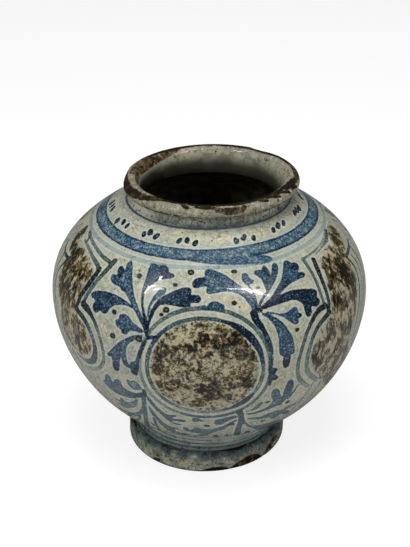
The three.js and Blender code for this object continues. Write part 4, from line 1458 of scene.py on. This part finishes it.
def material_neck():
    """Cream glaze; painted shade under the lip and blue-grey at the crease; painted light on the left."""
    c = colours()
    nodes, shader, vector = start_material("neck glaze")
    ground = nodes.group("glaze ground", Vector=vector, Clean=linear(168, 170, 154),
                         Thin=linear(134, 140, 130), Dirt=0.7)
    down = nodes.attribute("down")
    level = nodes.add(down, nodes.swing(vector, 9, 1.4, 4))
    across = nodes.axis(vector, "X")
    # Share of the painted shade round the neck: full at the front, less on the right, least on the lit
    # left.
    painted_shade_share = nodes.step(across, -0.052, -0.020, 0.25, 1.0)
    painted_shade_share = nodes.times(painted_shade_share, nodes.step(across, 0.020, 0.052, 1.0, 0.6))
    # Painted shade: blue-grey towards the crease, and darker right under the lip.
    low = nodes.times(nodes.step(level, 5.2, 8.8, 0.0, 0.85), painted_shade_share)
    high = nodes.times(nodes.step(level, 4.0, 0.4, 0.0, 0.75), painted_shade_share)
    # Painted light: the left side of the neck is made paler.
    painted_light_left = nodes.step(across, -0.034, -0.054, 0.0, 0.8)
    colour = nodes.mix(painted_light_left, ground["Color"], linear(208, 210, 190))
    colour = nodes.mix(low, colour, linear(72, 86, 90))
    colour = nodes.mix(high, colour, linear(84, 84, 70))
    colour = nodes.mix(nodes.patches(vector, 3.2, 0.55, 0.60, 0.85), colour, tuple(c.grime))
    inner = nodes.step(nodes.attribute("outer"), 0.5, 0.4)
    colour = nodes.mix(inner, colour, throat_glaze_and_shade(nodes, vector))
    roughness = nodes.blend(inner, ground["Roughness"], 0.6)
    glaze_shader(nodes, shader, colour, roughness, ground["Height"], 0.35)
    nodes.put(shader.inputs["Coat Weight"], nodes.step(inner, 0.0, 1.0, 0.3, 0.0))


def material_lip():
    """Cream glaze, worn through along the crest and chipped."""
    c = colours()
    nodes, shader, vector = start_material("worn lip glaze")
    ground = nodes.group("glaze ground", Vector=vector, Clean=linear(148, 145, 127),
                         Thin=linear(128, 127, 109), Dirt=0.6)
    down = nodes.attribute("down")
    colour = nodes.mix(nodes.patches(vector, 7, 0.52, 0.60, 0.5), ground["Color"], linear(126, 114, 88))
    # Painted shade: the underside of the lip is darkened.
    under = nodes.step(down, 4.5, 0.5, 0.0, 0.6)
    colour = nodes.mix(under, colour, linear(92, 88, 70))
    mouth = nodes.step(down, 23.0, 31.0)
    colour = nodes.mix(mouth, colour, throat_glaze_and_shade(nodes, vector))
    worn = nodes.painted("bare clay", vector, "worn")
    chip = nodes.painted("bare clay", vector, "chip")
    colour = nodes.mix(worn["Mask"], colour, worn["Color"])
    colour = nodes.mix(chip["Mask"], colour, chip["Color"])
    colour = nodes.mix(nodes.patches(vector, 3.4, 0.59, 0.63, 0.9), colour, tuple(c.grime))
    bare = nodes.math("MAXIMUM", worn["Mask"], chip["Mask"])
    roughness = nodes.blend(bare, ground["Roughness"], 0.7)
    height = nodes.math("SUBTRACT", nodes.add(ground["Height"], worn["Height"]), bare)
    glaze_shader(nodes, shader, colour, roughness, height, 0.5, ior=1.22)
    nodes.put(shader.inputs["Coat Weight"], nodes.step(bare, 0.0, 1.0, 0.7, 0.0))


def material_foot():
    """Thin grey-green glaze with blue wash and painted shade at the crease, grime and chips."""
    c = colours()
    nodes, shader, vector = start_material("foot glaze")
    ground = nodes.group("glaze ground", Vector=vector, Clean=linear(172, 170, 148),
                         Thin=linear(118, 128, 122), Crackle=0.5, Dirt=0.8)
    down = nodes.attribute("down")
    level = nodes.add(down, nodes.swing(vector, 14, 5.0, 4))
    # Blue wash and painted shade on the top of the foot, darkest by the crease.
    colour = nodes.mix(nodes.step(level, 13.0, 6.0, 0.0, 0.9), ground["Color"], linear(66, 84, 90))
    crusted = nodes.times(nodes.patches(vector, 6, 0.50, 0.56), nodes.step(level, 10.0, 2.0))
    colour = nodes.mix(crusted, colour, linear(44, 44, 38))
    colour = nodes.mix(nodes.patches(vector, 3.6, 0.56, 0.61, 0.85), colour, linear(50, 48, 38))
    edge = nodes.step(nodes.add(down, nodes.swing(vector, 6, 1.0)), 20.5, 23.0, 0.0, 0.9)
    colour = nodes.mix(edge, colour, linear(48, 42, 33))
    chip = nodes.painted("bare clay", vector, "chip")
    colour = nodes.mix(chip["Mask"], colour, chip["Color"])
    inner = nodes.step(nodes.attribute("outer"), 0.5, 0.4)
    bare_clay = nodes.mix(nodes.noise(vector, 6, 5, 0.7), linear(150, 124, 98), linear(96, 80, 66))
    colour = nodes.mix(inner, colour, bare_clay)
    bare = nodes.math("MAXIMUM", inner, chip["Mask"])
    roughness = nodes.blend(bare, ground["Roughness"], 0.7)
    glaze_shader(nodes, shader, colour, roughness, ground["Height"], 0.5, ior=1.22)
    nodes.put(shader.inputs["Coat Weight"], nodes.step(bare, 0.0, 1.0, 0.5, 0.0))


def material_floor():
    """Glazed above and bare below."""
    nodes, shader, vector = start_material("floor glaze")
    above = nodes.step(nodes.axis(vector, "Z"), 0.0160, 0.0165)
    bare_clay = nodes.mix(nodes.noise(vector, 7, 5, 0.7), linear(156, 130, 104), linear(104, 86, 70))
    colour = nodes.mix(above, bare_clay, throat_glaze_and_shade(nodes, vector))
    grain = nodes.noise(vector, 0.9, 4, 0.8)
    glaze_shader(nodes, shader, colour, nodes.blend(above, 0.8, 0.4), grain, 0.5, 0.0)


# Operators, with the number of points along each profile's curves
INNER_WALL_POINTS = 16
CORNER_POINTS = 7
NECK_POINTS = 15
THROAT_POINTS = 7
LIP_UNDER_POINTS = 24
LIP_CREST_POINTS = 40
FUNNEL_POINTS = 60
LIP_POINTS = 52              # over the whole outer side of the lip
FOOT_SHOULDER_POINTS = 12
FOOT_EDGE_POINTS = 10
FOOT_POINTS = 44             # over the whole outer side of the foot
FLOOR_COLUMNS = 180
CORNER_REACH = 22 * MM       # the round corner of the floor starts this far out from the bowl
TONGUE_INSET = 0.15 * MM     # what the tongue's inner edge stands off the wall's inside
LOWER_INSET = 0.1 * MM
LIP_CHIP_DEPTH = 1.4 * MM
FOOT_CHIP_DEPTH = 1.3 * MM
STRAY_ON_LIP = 60            # stray spots of wear
STRAY_ON_FOOT = 14


class JAR_OT_materials(bpy.types.Operator):
    """Builds the glazes and the clay"""
    bl_idname = "jar.materials"
    bl_label = "Glazes and clay"

    def execute(self, context):
        for build in (build_glaze_ground, build_cobalt, build_manganese, build_bare_clay):
            build()
        for build in (material_painted, material_neck, material_lip, material_foot, material_floor):
            build()
        return {"FINISHED"}


class JAR_OT_upper_wall(bpy.types.Operator):
    """Models the painted shoulder and upper belly"""
    bl_idname = "jar.upper_wall"
    bl_label = "Upper wall"

    def execute(self, context):
        z = sizes()
        outer = outer_upper()
        throat = z.neck_radius - z.neck_wall
        tongue_side = z.neck_radius - z.neck_wall / 2 - z.slip_gap / 2
        middle = z.belly_radius - z.wall / 2
        inside = spaced_evenly(moved_inward(upper_outline(), z.wall), INNER_WALL_POINTS)
        inner = [p for p in inside if p[1] > z.belly_z + z.wall_step and p[0] > throat]
        throat_z = inner[0][1] + (inner[0][0] - throat) * math.tan(z.shoulder_angle)
        inner_edge = inner[-1][0] + TONGUE_INSET
        profile = outer + [
            (middle + z.slip_gap / 2, z.belly_z),
            (middle + z.slip_gap / 2, z.belly_z + z.wall_step),
            (inner_edge, z.belly_z + z.wall_step),
        ] + inner[::-1] + [
            (funnel(throat_z), throat_z),
            (funnel(z.neck_z + z.neck_step), z.neck_z + z.neck_step),
            (tongue_side, z.neck_z + z.neck_step),
            (tongue_side, z.neck_z),
        ]
        piece = turned("painted_upper_wall", profile, z.columns)
        dress_wall(piece, profile)
        finish_piece(piece, "painted glaze", "painted_glaze", "upper_wall")
        return {"FINISHED"}


class JAR_OT_lower_wall(bpy.types.Operator):
    """Models the painted lower belly and the collar over the foot"""
    bl_idname = "jar.lower_wall"
    bl_label = "Lower wall"

    def execute(self, context):
        z = sizes()
        outer = outer_lower()
        bowl = z.crease_radius - z.collar_wall
        middle = z.belly_radius - z.wall / 2
        inside = spaced_evenly(moved_inward(lower_outline(), z.wall), INNER_WALL_POINTS)
        inner = [p for p in inside if p[0] > bowl + CORNER_REACH]
        corner = inner[-1]
        slope = (inner[-2][1] - inner[-1][1]) / (inner[-2][0] - inner[-1][0])
        bend = (bowl, corner[1] - (corner[0] - bowl) * slope)
        curve = quadratic(corner, bend, (bowl, z.slab_top_z), CORNER_POINTS)[1:]
        top_z = z.belly_z + z.wall_step
        profile = outer + [(bowl, z.crease_z)] + curve[::-1] + inner[::-1] + [
            (inner[0][0] - LOWER_INSET, top_z),
            (middle - z.slip_gap / 2, top_z),
            (middle - z.slip_gap / 2, z.belly_z),
        ]
        piece = turned("painted_lower_wall", profile, z.columns)
        dress_wall(piece, profile)
        finish_piece(piece, "painted glaze", "painted_glaze", "lower_wall")
        return {"FINISHED"}


class JAR_OT_neck(bpy.types.Operator):
    """Models the short neck between the shoulder and the lip"""
    bl_idname = "jar.neck"
    bl_label = "Neck collar"

    def execute(self, context):
        z = sizes()
        waist = z.neck_radius - z.neck_draw
        top = waist + z.neck_flare
        throat = z.neck_radius - z.neck_wall
        pull = (2 * waist - (z.neck_radius + top) / 2, (z.lip_seat_z + z.neck_z) / 2)
        outer = quadratic((top, z.lip_seat_z), pull, (z.neck_radius, z.neck_z), NECK_POINTS)
        skirt = z.neck_radius - z.neck_wall / 2 + z.slip_gap / 2
        tongue = (throat + top) / 2 - z.slip_gap / 2
        inner_heights = np.linspace(z.neck_z + z.neck_step, z.lip_seat_z + z.lip_step, THROAT_POINTS)
        profile = outer + [(skirt, z.neck_z), (skirt, z.neck_z + z.neck_step)]
        profile += [(funnel(h), float(h)) for h in inner_heights]
        profile += [(tongue, z.lip_seat_z + z.lip_step), (tongue, z.lip_seat_z)]
        piece = turned("glazed_neck_collar", profile, z.columns)
        co, rows = mapped(piece, profile)
        write_place(piece, rows < len(outer), (z.lip_seat_z - co[:, 2]) / MM)
        put_back(piece, lean(co))
        finish_piece(piece, "neck glaze", "neck_glaze", "neck_collar")
        return {"FINISHED"}


class JAR_OT_lip(bpy.types.Operator):
    """Models the rolled lip with its worn crest and chips"""
    bl_idname = "jar.lip"
    bl_label = "Lip roll"

    def execute(self, context):
        z = sizes()
        random = np.random.default_rng(31)
        throat = z.neck_radius - z.neck_wall
        inner_radius = throat - z.lip_overhang
        top = z.neck_radius - z.neck_draw + z.neck_flare
        under = top + z.lip_ledge
        middle_z = z.lip_seat_z + z.lip_lower_rise
        centre = ((z.lip_radius + inner_radius) / 2, middle_z)
        skirt = (throat + top) / 2 + z.slip_gap / 2
        line = [(top, z.lip_seat_z)]
        line += arc((under, middle_z), z.lip_radius - under, z.lip_lower_rise, -90, 0, LIP_UNDER_POINTS)
        half_width = (z.lip_radius - inner_radius) / 2
        line += arc(centre, half_width, z.lip_top_z - middle_z, 0, 90, LIP_CREST_POINTS)[1:]
        turns = np.linspace(1, 0, FUNNEL_POINTS)[1:]
        bottom = (z.lip_seat_z + z.lip_step - z.lip_top_z + z.funnel_depth) / z.funnel_depth
        heights = [z.lip_top_z - z.funnel_depth * (1 - math.sin(t * math.pi / 2)) for t in turns]
        lowest = z.lip_top_z - z.funnel_depth * (1 - bottom)
        line += [(funnel(h), h) for h in heights if h > lowest] + [(funnel(lowest), lowest)]
        outer = spaced_evenly(line, LIP_POINTS)
        profile = outer + [(skirt, z.lip_seat_z + z.lip_step), (skirt, z.lip_seat_z)]
        piece = turned("worn_lip_roll", profile, z.columns)
        canvas = Canvas(outer, z.columns)
        paint_on_ring(canvas, "worn", LIP_WEAR, random, STRAY_ON_LIP)
        paint_on_ring(canvas, "chip", LIP_CHIPS, random, 0)
        wear_piece(piece, profile, canvas, LIP_CHIP_DEPTH, random)
        finish_piece(piece, "worn lip glaze", "lip_glaze", "lip_roll")
        return {"FINISHED"}


class JAR_OT_foot(bpy.types.Operator):
    """Models the foot ring with painted shade and grime at its crease and a chipped edge"""
    bl_idname = "jar.foot"
    bl_label = "Foot ring"

    def execute(self, context):
        z = sizes()
        random = np.random.default_rng(41)
        recess = z.slab_radius - z.slab_bearing
        shoulder = (z.foot_radius - z.foot_shoulder_round, z.crease_z - z.foot_shoulder_round)
        edge = (z.foot_radius - z.foot_edge_round, z.foot_edge_round)
        line = [(z.crease_radius - MM, z.crease_z)]
        line += arc(shoulder, z.foot_shoulder_round, z.foot_shoulder_round, 90, 0,
                    FOOT_SHOULDER_POINTS)
        line += arc(edge, z.foot_edge_round, z.foot_edge_round, 0, -90, FOOT_EDGE_POINTS)
        line += [(edge[0] - 4 * MM, 0)]
        outer = spaced_evenly(line, FOOT_POINTS)
        profile = outer + [
            (recess, 0), (recess, z.slab_bottom_z / 2), (recess, z.slab_bottom_z),
            (z.slab_radius + z.slip_gap, z.slab_bottom_z), (z.slab_radius + z.slip_gap, z.crease_z),
        ]
        piece = turned("chipped_foot_ring", profile, z.columns)
        canvas = Canvas(outer, z.columns)
        canvas.layer("worn")
        paint_on_ring(canvas, "chip", FOOT_CHIPS, random, STRAY_ON_FOOT)
        wear_piece(piece, profile, canvas, FOOT_CHIP_DEPTH, random)
        finish_piece(piece, "foot glaze", "foot_glaze", "foot_ring")
        return {"FINISHED"}


class JAR_OT_floor(bpy.types.Operator):
    """Models the slab that closes the bottom"""
    bl_idname = "jar.floor"
    bl_label = "Floor slab"

    def execute(self, context):
        z = sizes()
        bowl = z.crease_radius - z.collar_wall
        middle = bowl - z.slip_gap
        rings = [z.slab_radius * share for share in (0.25, 0.5, 0.75)]
        top_rings = [middle * share for share in (0.8, 0.6, 0.4, 0.2)]
        profile = [(0, z.slab_bottom_z)] + [(r, z.slab_bottom_z) for r in rings] + [
            (z.slab_radius, z.slab_bottom_z), (z.slab_radius, z.crease_z), (middle, z.crease_z),
            (middle, z.slab_top_z),
        ] + [(r, z.slab_top_z) for r in top_rings] + [(0, z.slab_top_z)]
        piece = turned("floor_slab", profile, FLOOR_COLUMNS, closed=False)
        co, _ = mapped(piece, profile)
        put_back(piece, lean(co))
        finish_piece(piece, "floor glaze", "floor_glaze", "floor_disc")
        return {"FINISHED"}


class JAR_OT_stage(bpy.types.Operator):
    """Sets up the floor, the lights and the camera"""
    bl_idname = "jar.stage"
    bl_label = "Stage"

    def execute(self, context):
        bpy.context.scene.view_settings.view_transform = "Standard"
        add_floor()
        for name, azimuth, elevation, width, height, power in SOFT_LIGHTS:
            lamp = add_light(name, azimuth, elevation, SOFT_DISTANCE, width, height, power)
            lamp.visible_glossy = False
        for name, azimuth, elevation, width, height, tilt in GLINTS:
            power = GLINT_GLOW * width * height
            lamp = add_light(name, azimuth, elevation, GLINT_DISTANCE, width, height, power, tilt)
            lamp.visible_diffuse = False
        world = bpy.data.worlds.new("studio")
        world.use_nodes = True
        background = world.node_tree.nodes["Background"]
        background.inputs["Color"].default_value = (1, 1, 1, 1)
        nodes = Nodes(world.node_tree)
        path = nodes.new("ShaderNodeLightPath").outputs
        dimmed = nodes.blend(path["Is Glossy Ray"], WORLD_STRENGTH, WORLD_IN_GLAZE)
        nodes.put(background.inputs["Strength"], nodes.blend(path["Is Camera Ray"], dimmed, 1.0))
        bpy.context.scene.world = world
        add_camera()
        return {"FINISHED"}


# Lights: azimuth from the front growing to the right, elevation, width, height and power
SOFT_LIGHTS = (
    ("overhead", 0, 78, 0.9, 0.9, 20),
    ("left", -46, 38, 0.6, 0.6, 9),
    ("right", 50, 34, 0.6, 0.6, 5.0),
)
# The panes of two windows and a skylight: azimuth, elevation, width, height and tilt
GLINTS = (
    ("right_pane", 29.6, 58.0, 0.27, 0.014, -29),
    ("right_bar", 39.2, 54.4, 0.20, 0.028, -50),
    ("right_corner", 46.6, 48.8, 0.17, 0.042, -57),
    ("right_edge", 51.8, 43.2, 0.13, 0.012, -57),
    ("left_pane", -58.9, 47.4, 0.17, 0.018, 104),
    ("left_bar", -58.4, 52.3, 0.11, 0.020, 56),
    ("left_corner", -51.6, 52.2, 0.17, 0.016, 45),
    ("left_top", -59.7, 59.8, 0.09, 0.030, 115),
    ("skylight", 110, 76.8, 0.44, 0.012, -89),
)
GLINT_GLOW = 240             # power of those panes for each square metre
SOFT_DISTANCE = 1.7
GLINT_DISTANCE = 1.5
WORLD_STRENGTH = 0.22
WORLD_IN_GLAZE = 0.08        # the surroundings are darker where the glaze mirrors them


def add_floor():
    """A white sheet: as pale as the backdrop to the camera, dimmer to the light that bounces."""
    bpy.ops.object.select_all(action="DESELECT")
    bpy.ops.mesh.primitive_grid_add(x_subdivisions=8, y_subdivisions=8, size=12, location=(0, 0, 0))
    floor = bpy.context.object
    floor.name = "stage_floor"
    nodes, shader, vector = start_material("studio floor")
    path = nodes.new("ShaderNodeLightPath").outputs
    seen = path["Is Camera Ray"]
    dimmed = nodes.math("MAXIMUM", seen, path["Is Glossy Ray"])
    sheet = nodes.mix(nodes.noise(vector, 900, 2), (0.76, 0.76, 0.76), (0.80, 0.80, 0.80))
    nodes.put(shader.inputs["Base Color"], nodes.mix(dimmed, sheet, (0.3, 0.3, 0.3)))
    nodes.put(shader.inputs["Emission Color"], (1, 1, 1))
    nodes.put(shader.inputs["Emission Strength"], nodes.times(seen, 0.80))
    shader.inputs["Roughness"].default_value = 0.9
    shader.inputs["Specular IOR Level"].default_value = 0.0
    floor.data.materials.append(bpy.data.materials["studio floor"])


def add_light(name, azimuth, elevation, distance, width, height, power, tilt=0):
    """A rectangular lamp that faces the middle of the jar, tilted in its own plane."""
    turn, rise = math.radians(azimuth), math.radians(elevation)
    direction = Vector((math.sin(turn) * math.cos(rise), -math.cos(turn) * math.cos(rise), math.sin(rise)))
    lamp = bpy.data.lights.new(name, "AREA")
    lamp.shape = "RECTANGLE"
    lamp.size = width
    lamp.size_y = height
    lamp.energy = power
    lamp_object = bpy.data.objects.new(name, lamp)
    lamp_object.location = Vector((0, 0, 0.13)) + direction * distance
    facing = (-direction).to_track_quat("-Z", "Y")
    lamp_object.rotation_euler = (facing @ Quaternion((0, 0, 1), math.radians(tilt))).to_euler()
    bpy.context.scene.collection.objects.link(lamp_object)
    return lamp_object


CAMERA_SIDE = -0.0026
CAMERA_DISTANCE = 0.9792
CAMERA_ELEVATION = math.radians(27.31)
CAMERA_ROLL = math.radians(-0.9)
CAMERA_TARGET_Z = 0.1639
FOCAL_PIXELS = 1100
PICTURE_HEIGHT = 547
SENSOR_MM = 36


def add_camera():
    data = bpy.data.cameras.new("camera")
    data.sensor_width = SENSOR_MM
    data.lens = FOCAL_PIXELS / PICTURE_HEIGHT * SENSOR_MM
    camera = bpy.data.objects.new("camera", data)
    sin_e, cos_e = math.sin(CAMERA_ELEVATION), math.cos(CAMERA_ELEVATION)
    right = Vector((1, 0, 0))
    up = Vector((0, sin_e, cos_e))
    back = Vector((0, -cos_e, sin_e))
    turned_right = math.cos(CAMERA_ROLL) * right + math.sin(CAMERA_ROLL) * up
    turned_up = -math.sin(CAMERA_ROLL) * right + math.cos(CAMERA_ROLL) * up
    place = back * CAMERA_DISTANCE + Vector((CAMERA_SIDE, 0, CAMERA_TARGET_Z))
    matrix = Matrix((turned_right, turned_up, back)).transposed().to_4x4()
    matrix.translation = place
    camera.matrix_world = matrix
    bpy.context.scene.collection.objects.link(camera)
    bpy.context.scene.camera = camera


class JAR_PT_panel(bpy.types.Panel):
    """The steps in order"""
    bl_idname = "JAR_PT_panel"
    bl_label = "Globular vase"
    bl_space_type = "VIEW_3D"
    bl_region_type = "UI"
    bl_category = "Vase"

    def draw(self, context):
        for operator in OPERATORS:
            self.layout.operator(operator.bl_idname)


OPERATORS = (
    JAR_OT_materials, JAR_OT_foot, JAR_OT_floor, JAR_OT_lower_wall, JAR_OT_upper_wall, JAR_OT_neck,
    JAR_OT_lip, JAR_OT_stage,
)
CLASSES = (JarSizes, JarColours) + OPERATORS + (JAR_PT_panel,)


def register():
    for item in CLASSES:
        bpy.utils.register_class(item)
    bpy.types.Scene.jar_sizes = PointerProperty(type=JarSizes)
    bpy.types.Scene.jar_colours = PointerProperty(type=JarColours)


def unregister():
    del bpy.types.Scene.jar_sizes
    del bpy.types.Scene.jar_colours
    for item in reversed(CLASSES):
        bpy.utils.unregister_class(item)


def corners(bounds):
    return [list(corner) for corner in bounds]


def main():
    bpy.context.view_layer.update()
    register()
    bpy.ops.jar.materials()
    bpy.ops.jar.foot()
    bpy.ops.jar.floor()
    bpy.ops.jar.lower_wall()
    bpy.ops.jar.upper_wall()
    bpy.ops.jar.neck()
    bpy.ops.jar.lip()
    bpy.ops.jar.stage()


if __name__ == "__main__":
    main()
